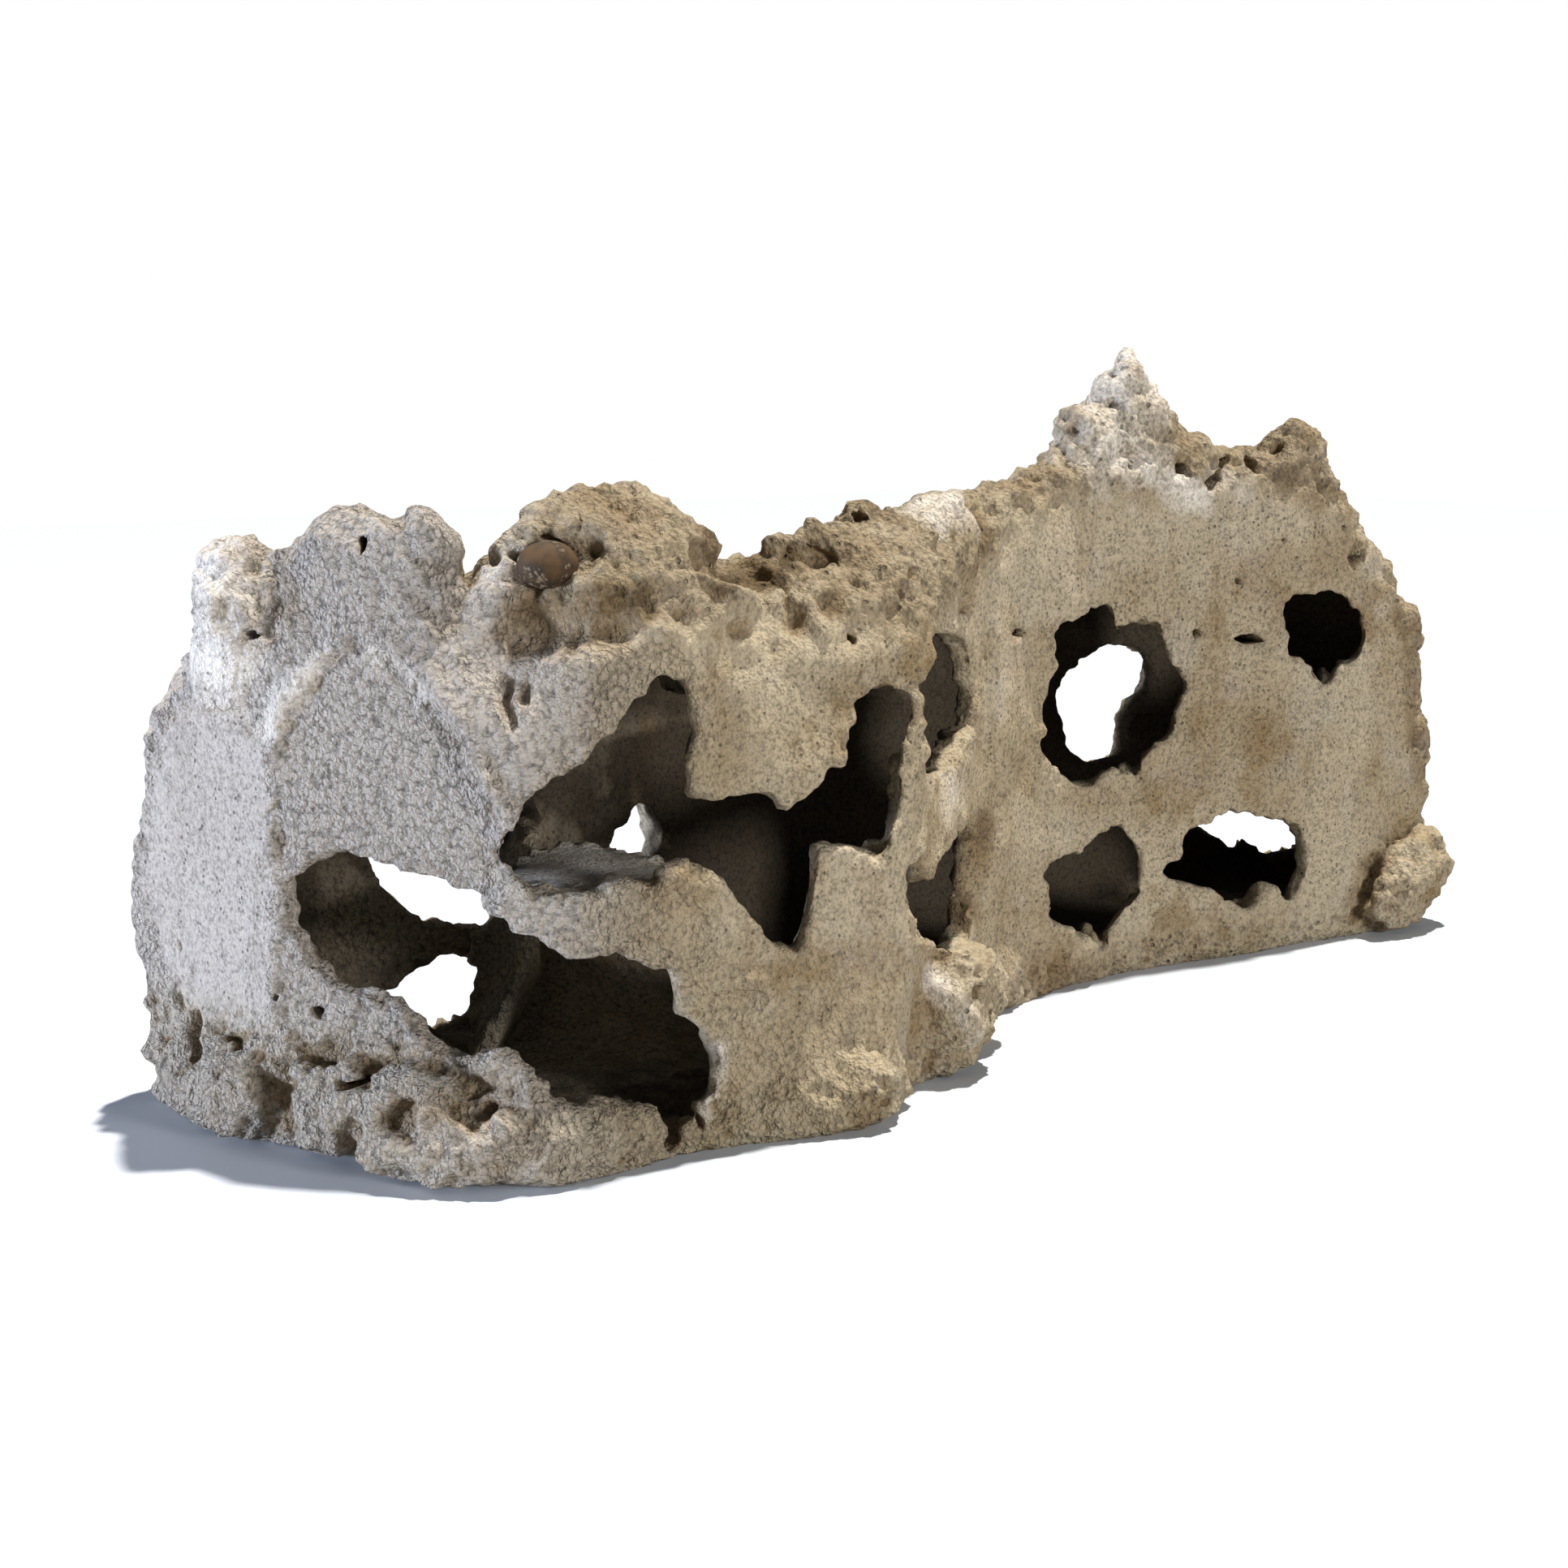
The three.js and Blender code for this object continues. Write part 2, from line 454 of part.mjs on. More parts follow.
let body = outerSkin;
lumps.forEach((lump, i) => { body = body.add(ball(lump, 0.26, 20 + i * 3.3)); });
masses.forEach((balls, i) => {
  body = body.add(wasm.Manifold.hull(balls.map((one, k) => ball(one, 0.2, 7 + i * 5.1 + k * 2.3))));
});
facets.forEach((facet) => {
  body = body.subtract(windowCut({ ...facet, inward: facetDepth, outward: 30 }, 0));
});
const ground = toSolid(new THREE.BoxGeometry(900, 600, 100).translate(0, 0, -50));
body = body.subtract(ground).subtract(hollow);

// Partition behind the low opening: a wedge with a ridge to the front, hollowed by the chambers on both sides.
const wedge = wasm.Manifold.hull(partitionBalls.map((one, i) => ball(one, 0.2, 33 + i * 2.7)));
const partition = partitionHollows.reduce((rest, one, i) => rest.subtract(ball(one, 0.06, 51 + i * 4.9)), wedge);
// Shelf behind the band between the two front openings.
const shelf = slab([[-216, -74], [-150, -84], [-144, -50], [-146, -28], [-148, 5], [-157, 18], [-177, 14],
  [-192, 2], [-206, -10], [-222, -30]], 9, new THREE.Matrix4().makeTranslation(0, 0, 79));
body = body.add(partition.add(shelf).intersect(outerSkin));

windows.forEach((opening, i) => { body = body.subtract(windowCut(opening, 2 + i * 4.1)); });
pits.forEach((pit, i) => { body = body.subtract(ball(pit, 0.3, 60 + i * 2.9)); });

const { at, size } = pebble;
body = body.subtract(ball({ at, size: size.map((s) => s + pebbleGap), fine: 2 }, 0.05, 91));
const stoneSolid = keepLargest(body);
const pebbleSolid = ball({ at, size, fine: 2 }, 0.05, 91);

// Centres the footprint on the origin.
const bounds = stoneSolid.boundingBox();
const shift = [-(bounds.min[0] + bounds.max[0]) / 2, -(bounds.min[1] + bounds.max[1]) / 2, -bounds.min[2]];

const stone = new THREE.Mesh(
  toGeometry(stoneSolid.translate(shift)),
  new THREE.MeshStandardMaterial({ color: 0xb8ae98, roughness: 0.95, metalness: 0 }),
);
stone.name = 'stone';

const lodged = new THREE.Mesh(
  toGeometry(pebbleSolid.translate(shift)),
  new THREE.MeshStandardMaterial({ color: 0x8a6a42, roughness: 0.5, metalness: 0 }),
);
lodged.name = 'pebble';

const rock = new THREE.Group();
rock.name = 'holey_limestone';
rock.add(stone, lodged);

export default rock;
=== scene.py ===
import math

import bmesh
import bpy
import numpy as np
from mathutils import Matrix, Vector, noise
from mathutils.bvhtree import BVHTree
from mathutils.kdtree import KDTree


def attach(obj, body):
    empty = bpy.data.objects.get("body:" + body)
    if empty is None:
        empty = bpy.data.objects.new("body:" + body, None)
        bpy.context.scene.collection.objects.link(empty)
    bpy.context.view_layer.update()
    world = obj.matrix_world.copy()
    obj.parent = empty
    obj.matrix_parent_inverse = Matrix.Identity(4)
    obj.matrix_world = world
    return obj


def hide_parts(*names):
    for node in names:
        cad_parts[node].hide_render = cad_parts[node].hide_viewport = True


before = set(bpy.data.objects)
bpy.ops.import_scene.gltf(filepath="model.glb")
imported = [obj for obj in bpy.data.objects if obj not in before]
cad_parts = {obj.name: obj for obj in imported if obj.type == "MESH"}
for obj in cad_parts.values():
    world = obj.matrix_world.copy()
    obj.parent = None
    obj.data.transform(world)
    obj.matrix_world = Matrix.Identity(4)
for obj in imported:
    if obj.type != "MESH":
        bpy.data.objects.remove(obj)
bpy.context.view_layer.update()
mm = 0.001
scene = bpy.context.scene


# Small helpers shared by the pieces
def srgb(red, green, blue):
    def linear(value):
        value /= 255
        return value / 12.92 if value <= 0.04045 else ((value + 0.055) / 1.055) ** 2.4
    return (linear(red), linear(green), linear(blue), 1)


def newObject(name, mesh):
    piece = bpy.data.objects.new(name, mesh)
    scene.collection.objects.link(piece)
    return piece


def applyModifiers(piece):
    view = bpy.context.evaluated_depsgraph_get()
    finished = bpy.data.meshes.new_from_object(piece.evaluated_get(view))
    old = piece.data
    piece.modifiers.clear()
    piece.data = finished
    bpy.data.meshes.remove(old)


def readPoints(mesh):
    points = np.empty(len(mesh.vertices) * 3, np.float32)
    mesh.vertices.foreach_get("co", points)
    return points.reshape(-1, 3) / mm


def readNormals(mesh):
    normals = np.empty(len(mesh.vertices) * 3, np.float32)
    mesh.vertex_normals.foreach_get("vector", normals)
    return normals.reshape(-1, 3)


def writePoints(mesh, points):
    mesh.vertices.foreach_set("co", (points * mm).astype(np.float32).ravel())
    mesh.update()


def ramp(values, low, high):
    t = np.clip((values - low) / (high - low), 0, 1)
    return t * t * (3 - 2 * t)


def waves(points, size, seed):  # smooth bumps of about this size in millimetres, from -1 to 1
    moved = points / size + seed
    return np.array([noise.noise(Vector(p)) for p in moved.tolist()])


def cells(points, size, seed):  # 0 at scattered points, about 1 halfway between them
    moved = points / size + seed
    return np.array([noise.voronoi(Vector(p))[0][0] for p in moved.tolist()])


def crags(points, size, seed):  # sharp creases between rounded lumps, from 0 to about 1
    moved = points / size + seed
    return np.array([noise.turbulence(Vector(p), 3, True) for p in moved.tolist()])


# The stone: a copy of the solid, remeshed evenly, carved with its small features and roughened
stoneShape = {
    "voxel": 1.6 * mm,
    "coarseVoxel": 6 * mm,
    "caveReach": 120 * mm,  # how far the rays look for sheltered places, and for nooks
    "nookReach": 14 * mm,
    "boreReach": 15 * mm,
    "smoothRounds": 7,
    "seamRounds": 60,
    "triangles": 197000,
    "keepOutside": 0.00002,  # how much more of the mesh stays outside than in the hollow
    "broadSwing": 1.6,  # millimetres from here on
    "backSwing": 5.0,
    "lumpSwing": 0.9,
    "rimSwing": 2.0,
    "crustSwing": 3.6,
    "cragSwing": 2.6,
    "crumbSwing": 2.2,
    "pockDepth": 3.2,
    "grainSwing": 0.16,
    "crustGrain": 0.75,
    "broadSize": 34,  # how wide the bumps of each kind are
    "backSize": 46,
    "lumpSize": 13,
    "crustSize": 24,
    "crustLumpSize": 11,
    "cragSize": 9,
    "crumbSize": 5.5,
    "pockSize": 10,
    "pockPatchSize": 26,
    "rimSizes": (15, 7, 4),
    "grainSizes": (5.2, 3.6),
    "backCrustSize": 52,
    "markEdgeSize": 8,
    "coolLightTintEdgeSize": 30,
    "crestFrom": [(-300, 160), (-262, 160), (-240, 176), (-215, 172), (-60, 162), (20, 180), (60, 198),
                  (200, 198), (250, 166), (266, 120), (276, 60), (300, 40)],
    "footUpTo": [(-300, 44), (-200, 44), (-165, 22), (-70, 20), (-50, 42), (-12, 40), (10, 18), (235, 18),
                 (248, 46), (300, 46)],
    "frontLine": [(-276, 2), (-262, -19), (-244, -44), (-227, -67), (-205, -79), (-180, -83), (-130, -88),
                  (-86, -88), (-71, -83), (-52, -68), (-34, -54), (-15, -40), (5, -26), (27, -16), (51, -9),
                  (102, -2), (152, -7), (202, -14), (251, -16), (287, -12)],
}

# Two flat faces of the left end: a point, the way each faces in degrees from the front, and its outline
facetPlanes = [
    {"at": (-251, -34.5, 70), "facing": -53.4, "rim": [(-41, 62), (-31, 77), (-21, 94), (-10, 101), (1, 98),
     (15, 86), (28, 69), (39, 50), (38, 20), (20, -20), (-20, -40), (-42, -36)]},
    {"at": (-285, 37.5, 80), "facing": -76.8, "rim": [(-28, 37), (-14, 61), (2, 66), (30, 66), (37, 50),
     (36, -30), (24, -47), (-20, -46), (-32, -19), (-36, 10)]},
]

# Low relief in millimetres: the line it follows, how far it reaches to each side, how high it stands
relief = [
    ("basin", [(-211, -66, 175), (-201, -73, 177), (-192, -77, 178)], 11, -7.0),
    ("floor of the basin", [(-202, -74, 174)], 6, -2.5),
    ("lip of the basin", [(-214, -70, 166), (-202, -79, 164), (-188, -84, 167), (-178, -84, 174)], 6, 3.0),
    ("pocket beside the pebble", [(-191, -64, 199)], 6, -3.5),
    ("brow over the middle opening", [(-195, -78, 184), (-181, -81, 176), (-170, -86, 166)], 6, 1.8),
    ("fold under the brow", [(-166, -84, 178), (-158, -86, 166)], 8, -2.2),
    ("crack of the crest", [(-155, -75, 195), (-145, -74, 188), (-136, -64, 188)], 8, -7.5),
    ("pit over the arch", [(-149, -84, 173), (-143, -83, 173)], 4, -5.0),
    ("crag beside the crack", [(-158, -79, 190), (-149, -81, 183), (-134, -77, 177)], 4, 2.6),
    ("bowl of the crest", [(-124, -79, 172)], 6.5, -4.0),
    ("rim of the bowl", [(-133, -80, 168), (-132, -75, 175), (-125, -71, 179), (-115, -76, 178),
                         (-116, -84, 168)], 3.5, 2.4),
    ("hollow behind the bowl", [(-110, -57, 191), (-100, -62, 191)], 9, -5.0),
    ("ridge of the hollow", [(-118, -55, 187), (-115, -67, 186), (-101, -71, 189)], 4, 2.4),
    ("shallow pit", [(-147, -87, 162)], 8, -3.0),
    ("pit of the mound", [(-108, -80, 178)], 6, -3.5),
    ("fold of the tongue", [(-128, -84, 162), (-110, -86, 158), (-96, -85, 162)], 7, 1.8),
    ("arch of the facet, left", [(-276, -1, 128), (-272, -7, 152), (-266, -22, 167),
                                 (-258, -32, 173)], 5, 2.2),
    ("arch of the facet, right", [(-252, -38, 172), (-241, -48, 161), (-237, -56, 149), (-233, -63, 134),
                                  (-229, -68, 119)], 4.5, 2.2),
    ("scoop under the arch", [(-254, -34, 165), (-248, -39, 161), (-244, -44, 155)], 5, -1.8),
    ("crease of the facets", [(-277, 0, 133), (-278, 8, 99), (-279, 14, 63), (-280, 17, 39)], 3, 1.1),
    ("slit, long side", [(-222, -64, 160), (-224, -65, 153), (-222, -66, 146)], 3.2, -5.0),
    ("slit, short side", [(-218, -68, 159), (-219, -68, 154)], 3.2, -4.5),
    ("groove beside the far lump", [(-269, 3, 196), (-271, -1, 182), (-273, -1, 172)], 4.5, -4.0),
    ("bulge of the far lump", [(-282, 16, 180)], 8, 2.5),
    ("knob of the far lump", [(-274, 16, 199)], 7, 2.0),
    ("pit by the left facet", [(-279, 9, 139)], 4, -2.5),
    ("cleft beside the hump", [(-221, -42, 176), (-224, -50, 164)], 5, -2.0),
    ("notch of the hump", [(-245, -28, 212), (-242, -22, 212)], 5, -3.0),
    ("second lobe of the hump", [(-236, -39, 208), (-230, -41, 201)], 9, 4.0),
    ("cave of the foot", [(-287, 44, 34), (-284, 38, 26), (-283, 34, 18)], 6, -6.0),
    ("hollow of the foot", [(-280, -6, 30), (-278, -8, 12)], 9, -3.5),
    ("pit of the foot, left", [(-262, -60, 27), (-264, -56, 20)], 6.5, -5.0),
    ("pit of the foot, right", [(-248, -72, 27), (-241, -76, 27)], 6, -4.0),
    ("pit of the toe, upper", [(-240, -80, 20)], 4, -2.6),
    ("pit of the toe, left", [(-239, -81, 9)], 4, -2.6),
    ("pit of the toe, middle", [(-222, -87, 8)], 4, -2.6),
    ("pit of the toe, right", [(-207, -88, 12)], 4, -2.4),
    ("fold above the foot", [(-258, -24, 51), (-252, -40, 41)], 3, -1.8),
    ("shelf of the foot", [(-268, -38, 42), (-256, -54, 38), (-240, -68, 36)], 6, 2.2),
    ("toe of the foot", [(-226, -80, 9), (-205, -84, 8)], 9, 3.0),
    ("band between the openings", [(-176, -86, 97), (-166, -88, 90)], 9, 2.5),
    ("groove of the band", [(-170, -88, 80), (-168, -88, 70)], 8, -2.6),
    ("lip under the band", [(-160, -90, 57), (-147, -92, 57)], 4, 2.2),
    ("fold under the lip", [(-163, -90, 51), (-147, -92, 50)], 5, -1.6),
    ("pit of the pillar, high", [(-130, -93, 47)], 3.5, -2.4),
    ("pit of the pillar, right", [(-122, -94, 40)], 3.5, -2.4),
    ("pit of the pillar, left", [(-146, -90, 31)], 3.5, -2.2),
    ("pit of the pillar, low", [(-138, -92, 22)], 3.5, -2.2),
    ("knob, upper", [(-103, -100, 18)], 8, 3.0),
    ("knob, lower", [(-101, -98, 6)], 8, 3.0),
    ("fold between the knobs", [(-103, -101, 12)], 3.5, -3.0),
    ("seam of the waist", [(-42, -49, 202), (-58, -66, 186), (-69, -80, 165), (-74, -85, 140),
                           (-75, -87, 125)], 4, 2.4),
    ("fold beside the seam", [(-38, -49, 196), (-52, -66, 180), (-62, -78, 160)], 5, -1.6),
    ("rib of the waist", [(13, -20, 192), (16, -21, 160), (17, -22, 122), (14, -24, 97)], 5, 1.8),
    ("recess beside the rib", [(5, -23, 192), (3, -24, 184)], 6, -3.5),
    ("hollow right of the low window", [(8, -29, 76), (3, -29, 60), (0, -30, 50)], 8, -5.0),
    ("pit of the waist, left", [(-46, -62, 177), (-40, -58, 176)], 5, -3.5),
    ("pit of the waist, right", [(-10, -33, 168), (-4, -30, 166)], 5, -3.0),
    ("fin of the waist lump", [(-62, -76, 42), (-50, -79, 30), (-43, -79, 18)], 4, 2.6),
    ("hollow beside the fin", [(-70, -76, 30)], 9, -3.0),
    ("crack under the peak", [(100, -3, 221), (122, -4, 217)], 2.6, -2.6),
    ("shelf under the peak", [(118, -4, 214), (136, -6, 204)], 8, 1.2),
    ("dent of the right shoulder", [(192, -15, 175)], 6, -2.4),
    ("fold of the right block", [(246, -22, 34), (244, -26, 18)], 5, -2.6),
    ("niche at the ground", [(60, -9, 9), (72, -8, 5)], 4, -3.0),
    ("hollow behind the block", [(245, -23, 33), (240, -24, 20), (236, -18, 11)], 6, -3.5),
    ("pits beside the far window", [(196, -15, 173)], 4, -2.6),
    ("pits between the windows", [(169, -13, 104), (180, -15, 101)], 3, -1.8),
    ("dirt at the long window, left", [(55, -11, 144), (50, -11, 118)], 4, -1.6),
    ("mound of the low chamber", [(-134, 24, 12), (-129, 0, 8)], 14, 6.0),
    ("ledge of the low chamber", [(-109, 54, 28), (-106, 46, 19), (-104, 39, 12), (-106, 25, 9)], 5, 4.0),
    ("step of the right edge", [(268, -14, 142), (272, -12, 134)], 8, 4.5),
    ("notch of the right edge", [(262, -14, 157)], 6, -4.0),
    ("horn of the peak", [(114, 12, 257)], 4.5, 5.0),
    ("flank of the peak", [(103, 6, 240), (101, 2, 232)], 6, -2.5),
]

# Small holes in millimetres: middle, the way each faces, full width, full height and turn of its long side
bores = [
    ((-250, -25, 201), -40, 3.0, 7.0, 0),
    ((-267, -12, 48), -60, 4.6, 4.6, 0),
    ((-267, -36, 29.5), -60, 11.0, 3.0, -8),
    ((-276, -1, 52), -60, 2.6, 2.6, 0),
    ((-277, 5, 171), -60, 6.4, 3.6, 0),
    ((-165, -84, 10), -10, 3.0, 6.0, -25),
    ((-103, -85, 166), -10, 5.0, 3.0, 30),
    ((-74, -50, 204), 0, 5.0, 4.0, 0),
    ((36, -14, 152), 20, 14.0, 3.4, 6),
    ((9, -25, 146), 30, 2.4, 3.2, 0),
    ((143, -7, 144), 0, 5.4, 4.4, 0),
    ((170, -12, 140), 0, 15.0, 4.6, 4),
    ((134, -4, 213), 0, 9.0, 5.2, 25),
    ((151, -6, 208), 0, 11.0, 5.6, -35),
    ((159, -3, 216), 0, 8.0, 5.0, -30),
    ((174, -5, 214), 0, 7.0, 8.4, -40),
    ((103, -3, 215), 0, 3.0, 3.0, 0),
    ((222, -15, 186), 0, 2.6, 3.0, 0),
    ((236, -12, 173), 10, 3.6, 6.2, 20),
    ((186, -15, 182), 0, 3.0, 2.2, 0),
    ((164, -11, 165), 0, 5.0, 3.0, 20),
    ((-183, 10, 13), -40, 2.6, 2.6, 0),
]

# Pale crusts, some of them painted highlights and painted light on lit flanks, ridges and ledges, and brown
# stains, which also paint shade into the cracks and hollows they follow, in millimetres: the line each
# follows, its reach, how strong it is
paleMarks = [
    ("peak", [(95, 5, 226), (112, 8, 240), (114, 10, 256)], 26, 0.9),
    ("patch under the peak", [(114, -3, 214), (128, -4, 208), (141, -6, 201)], 9, 1.0),
    ("patch right of it", [(152, -4, 208), (168, -6, 204)], 8, 0.4),
    ("crust over the waist", [(-40, -48, 206), (-24, -36, 206), (-8, -28, 204)], 13, 0.9),
    ("rib of the waist", [(16, -21, 160), (17, -22, 122)], 5, 0.2),
    ("web between the waist windows", [(-44, -65, 97), (-32, -58, 105), (-25, -49, 100)], 9, 0.4),
    # Painted light: the flank left of the pebble is whitened where the window light falls on it
    ("left of the pebble", [(-216, -50, 192), (-206, -44, 208)], 8, 0.6),
    # Painted highlight along the ridge of the arch
    ("band of the arch", [(-276, -1, 140), (-272, -7, 152), (-266, -22, 165)], 6, 0.8),
    ("scoop under the arch", [(-254, -34, 165), (-248, -39, 161), (-244, -44, 155)], 5, 0.8),
    ("strip by the low opening", [(-160, -87, 35), (-161, -86, 21), (-163, -85, 12)], 4, 0.8),
    # Painted light: the far lump is whitened where the window light falls on it
    ("far lump", [(-283, 20, 162), (-282, 18, 186)], 22, 0.9),
    ("fin of the waist lump", [(-62, -76, 42), (-50, -79, 30), (-43, -79, 18)], 6, 0.7),
    # Painted light: the shaded ledge behind the band is lightened as if lit
    ("ledge behind the band", [(-196, -40, 88), (-172, -34, 88), (-160, -14, 88)], 34, 1.1),
]
stainAndShadeMarks = [
    ("basin", [(-212, -64, 175), (-200, -70, 176), (-188, -74, 178)], 13, 1.0),
    ("crack of the crest", [(-153, -70, 192), (-138, -60, 188), (-124, -54, 184)], 15, 1.0),
    ("bowls", [(-122, -58, 184), (-104, -60, 190), (-92, -62, 188)], 16, 0.7),
    ("pit below the bowl", [(-118, -72, 172), (-108, -76, 176)], 9, 0.8),
    ("far lump, inner side", [(-270, 4, 194), (-266, 0, 180), (-270, 6, 172)], 11, 0.9),
    ("far lump, top", [(-278, 12, 198), (-270, 8, 195)], 9, 0.7),
    ("hump, far end", [(-224, -42, 176), (-222, -48, 168)], 9, 0.5),
    ("nub", [(-74, -50, 206), (-62, -50, 204)], 9, 0.8),
    ("recess of the waist", [(6, -22, 194), (0, -26, 180), (-8, -30, 170)], 10, 0.7),
    ("right of the peak", [(124, 2, 226), (138, 4, 218), (150, 2, 216)], 8, 0.8),
    ("right shoulder", [(186, -8, 206), (204, -12, 200)], 12, 0.5),
    ("pits of the foot", [(-262, -60, 26), (-245, -72, 26)], 12, 0.5),
    ("cave of the foot", [(-287, 44, 34), (-284, 36, 22)], 9, 0.6),
    ("ledge at the low opening", [(-236, -60, 38), (-222, -66, 34)], 9, 0.7),
    ("waist lump", [(-76, -76, 44), (-70, -76, 26)], 13, 0.6),
    ("waist, right of the low window", [(6, -29, 78), (1, -29, 61), (-3, -30, 50)], 13, 1.0),
    ("below the low window", [(59, -9, 12), (84, -7, 6), (114, -5, 6)], 14, 0.6),
    ("left of the long window", [(50, -13, 146), (46, -13, 112), (44, -14, 84)], 12, 0.45),
    ("under the long window", [(62, -11, 84), (84, -8, 78)], 9, 0.45),
    ("between the right windows", [(120, -7, 69), (128, -8, 83), (150, -10, 80)], 14, 0.4),
    ("beside the far window", [(196, -15, 173), (166, -10, 167), (221, -16, 175)], 14, 0.5),
    ("pits between the windows", [(169, -13, 104), (180, -15, 101)], 12, 0.5),
    ("right edge", [(274, -16, 95), (270, -16, 120)], 14, 0.4),
    ("hollow behind the block", [(245, -23, 33), (240, -24, 20), (236, -18, 11)], 11, 0.9),
    ("pillar", [(-125, -93, 39), (-105, -94, 42), (-146, -90, 22)], 16, 0.4),
    ("mound of the low chamber", [(-134, 24, 12), (-129, 0, 8)], 16, 0.5),
]

# Seams in millimetres that are rounded off first: the line each follows, its reach, how much
seamMarks = [
    ("saddle", [(-222, -48, 172), (-206, -58, 172), (-196, -68, 180), (-206, -54, 182)], 24, 1.0),
    ("hump", [(-250, -8, 196), (-236, -28, 190)], 30, 0.8),
    ("foot", [(-285, 50, 14), (-262, -20, 20), (-240, -60, 16), (-215, -80, 14)], 24, 0.5),
    ("peak", [(95, 5, 228), (112, 10, 244)], 18, 0.6),
]

# Lighter places in the hollow in millimetres, where the dark brown of the hollow and its painted shade give
# way to sand colour, a painted light where light reaches in: the line each follows, its reach, how far the
# dark brown gives way
bareAndLitMarks = [
    ("left chamber", [(-235, 20, 50), (-225, 40, 30)], 40, 0.45),
    ("strut between the back openings", [(-220, 61, 59), (-204, 60, 57), (-192, 59, 52),
                                         (-179, 59, 47)], 18, 0.9),
    ("right chamber", [(-150, 20, 36), (-120, 20, 34)], 64, 0.95),
    ("mound of the low chamber", [(-134, 24, 12), (-129, 0, 8)], 15, 0.9),
    ("ledge of the low chamber", [(-109, 54, 28), (-106, 46, 19), (-104, 39, 12), (-106, 25, 9)], 6, 0.7),
    ("ridge between the chambers", [(-176, -10, 70), (-180, 10, 44), (-186, 30, 28)], 10, 0.25),
    # Painted light: the shaded ledge behind the band keeps the sand colour as if lit
    ("ledge behind the band", [(-200, -46, 88), (-178, -40, 88), (-160, -20, 88), (-172, 0, 88)], 34, 1.0),
    ("low hollow of the right half", [(190, 50, 20), (205, 50, 20)], 30, 0.8),
]


def copyOfNode(name):
    shape = bmesh.new()
    shape.from_mesh(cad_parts[name].data)
    bmesh.ops.remove_doubles(shape, verts=shape.verts, dist=1e-6)
    mesh = bpy.data.meshes.new(name)
    shape.to_mesh(mesh)
    shape.free()
    return mesh


def evenMesh(piece, voxel):
    remesh = piece.modifiers.new("even mesh", "REMESH")
    remesh.mode = "VOXEL"
    remesh.voxel_size = voxel
    applyModifiers(piece)


def soften(piece, rounds, amount):  # amount says how much at each vertex
    group = piece.vertex_groups.new(name="soft")
    for step in range(11):
        chosen = np.flatnonzero(np.round(amount * 10) == step)
        if step and len(chosen):
            group.add(chosen.tolist(), step / 10, "REPLACE")
    smooth = piece.modifiers.new("soften", "SMOOTH")
    smooth.iterations = rounds
    smooth.factor = 0.5
    smooth.vertex_group = "soft"
    applyModifiers(piece)
    piece.vertex_groups.clear()


def bore(piece):
    shape = bmesh.new()
    for at, facing, wide, high, turn in bores:
        place = (Matrix.Translation(Vector(at) * mm) @ Matrix.Rotation(math.radians(facing), 4, "Z")
                 @ Matrix.Rotation(math.radians(turn), 4, "Y")
                 @ Matrix.Diagonal((wide / 2 * mm, stoneShape["boreReach"], high / 2 * mm, 1)))
        ball = bmesh.ops.create_icosphere(shape, subdivisions=3, radius=1)["verts"]
        for vertex in ball:
            vertex.co *= 1 + 0.5 * noise.noise(vertex.co * 1.3 + Vector(at))
        bmesh.ops.transform(shape, matrix=place, verts=ball)
    mesh = bpy.data.meshes.new("bores")
    shape.to_mesh(mesh)
    shape.free()
    cutter = newObject("bores", mesh)
    cut = piece.modifiers.new("bores", "BOOLEAN")
    cut.operation = "DIFFERENCE"
    cut.solver = "MANIFOLD"
    cut.object = cutter
    applyModifiers(piece)
    bpy.data.objects.remove(cutter)


def skyRays(count):
    rays = []
    for step in range(count):
        height = 1 - (step + 0.5) / count
        turn = step * 2.39996
        flat = math.sqrt(1 - height * height)
        rays.append(Vector((flat * math.cos(turn), flat * math.sin(turn), height)))
    return rays


def shelterOf(mesh, reach, count):  # how walled in each vertex is within reach: 0 open, 1 closed
    tree = BVHTree.FromPolygons([v.co for v in mesh.vertices], [p.vertices for p in mesh.polygons])
    rays = skyRays(count)
    found = []
    for vertex in mesh.vertices:
        turn = vertex.normal.to_track_quat("Z", "X")
        start = vertex.co + vertex.normal * 0.8 * mm
        blocked = 0
        for ray in rays:
            if tree.ray_cast(start, turn @ ray, reach)[0]:
                blocked += 1
        found.append(blocked / count)
    return np.array(found)


def treeOf(places):
    tree = KDTree(len(places))
    for index, place in enumerate(places):
        tree.insert(place, index)
    tree.balance()
    return tree


def nearest(tree, values, points):
    spots = (points * mm).tolist()
    result = np.zeros(len(spots))
    for i, spot in enumerate(spots):
        close = tree.find_n(spot, 3)
        weights = [1 / (c[2] + 0.0005) for c in close]
        result[i] = sum(w * values[c[1]] for w, c in zip(weights, close)) / sum(weights)
    return result


def rimTree(mesh):  # points along the sharp edges of the solid, the rims of its windows
    shape = bmesh.new()
    shape.from_mesh(mesh)
    places = []
    for edge in shape.edges:
        if edge.is_manifold and edge.calc_face_angle() > 0.9:
            first, last = edge.verts
            steps = max(1, int(edge.calc_length() / (2 * mm)))
            places += [first.co.lerp(last.co, (k + 0.5) / steps) for k in range(steps)]
    shape.free()
    return treeOf(places)


def rimAt(tree, points):
    away = np.array([tree.find(spot)[2] for spot in (points * mm).tolist()]) / mm
    return 1 - ramp(away, 2, 7)


def depthBehindFront(points):
    x, y = points[:, 0], points[:, 1]
    line = stoneShape["frontLine"]
    away = np.min([awayFromLine(x, y, start, end) for start, end in zip(line, line[1:])], axis=0)
    return np.where(y > np.interp(x, *zip(*line)), away, 0)


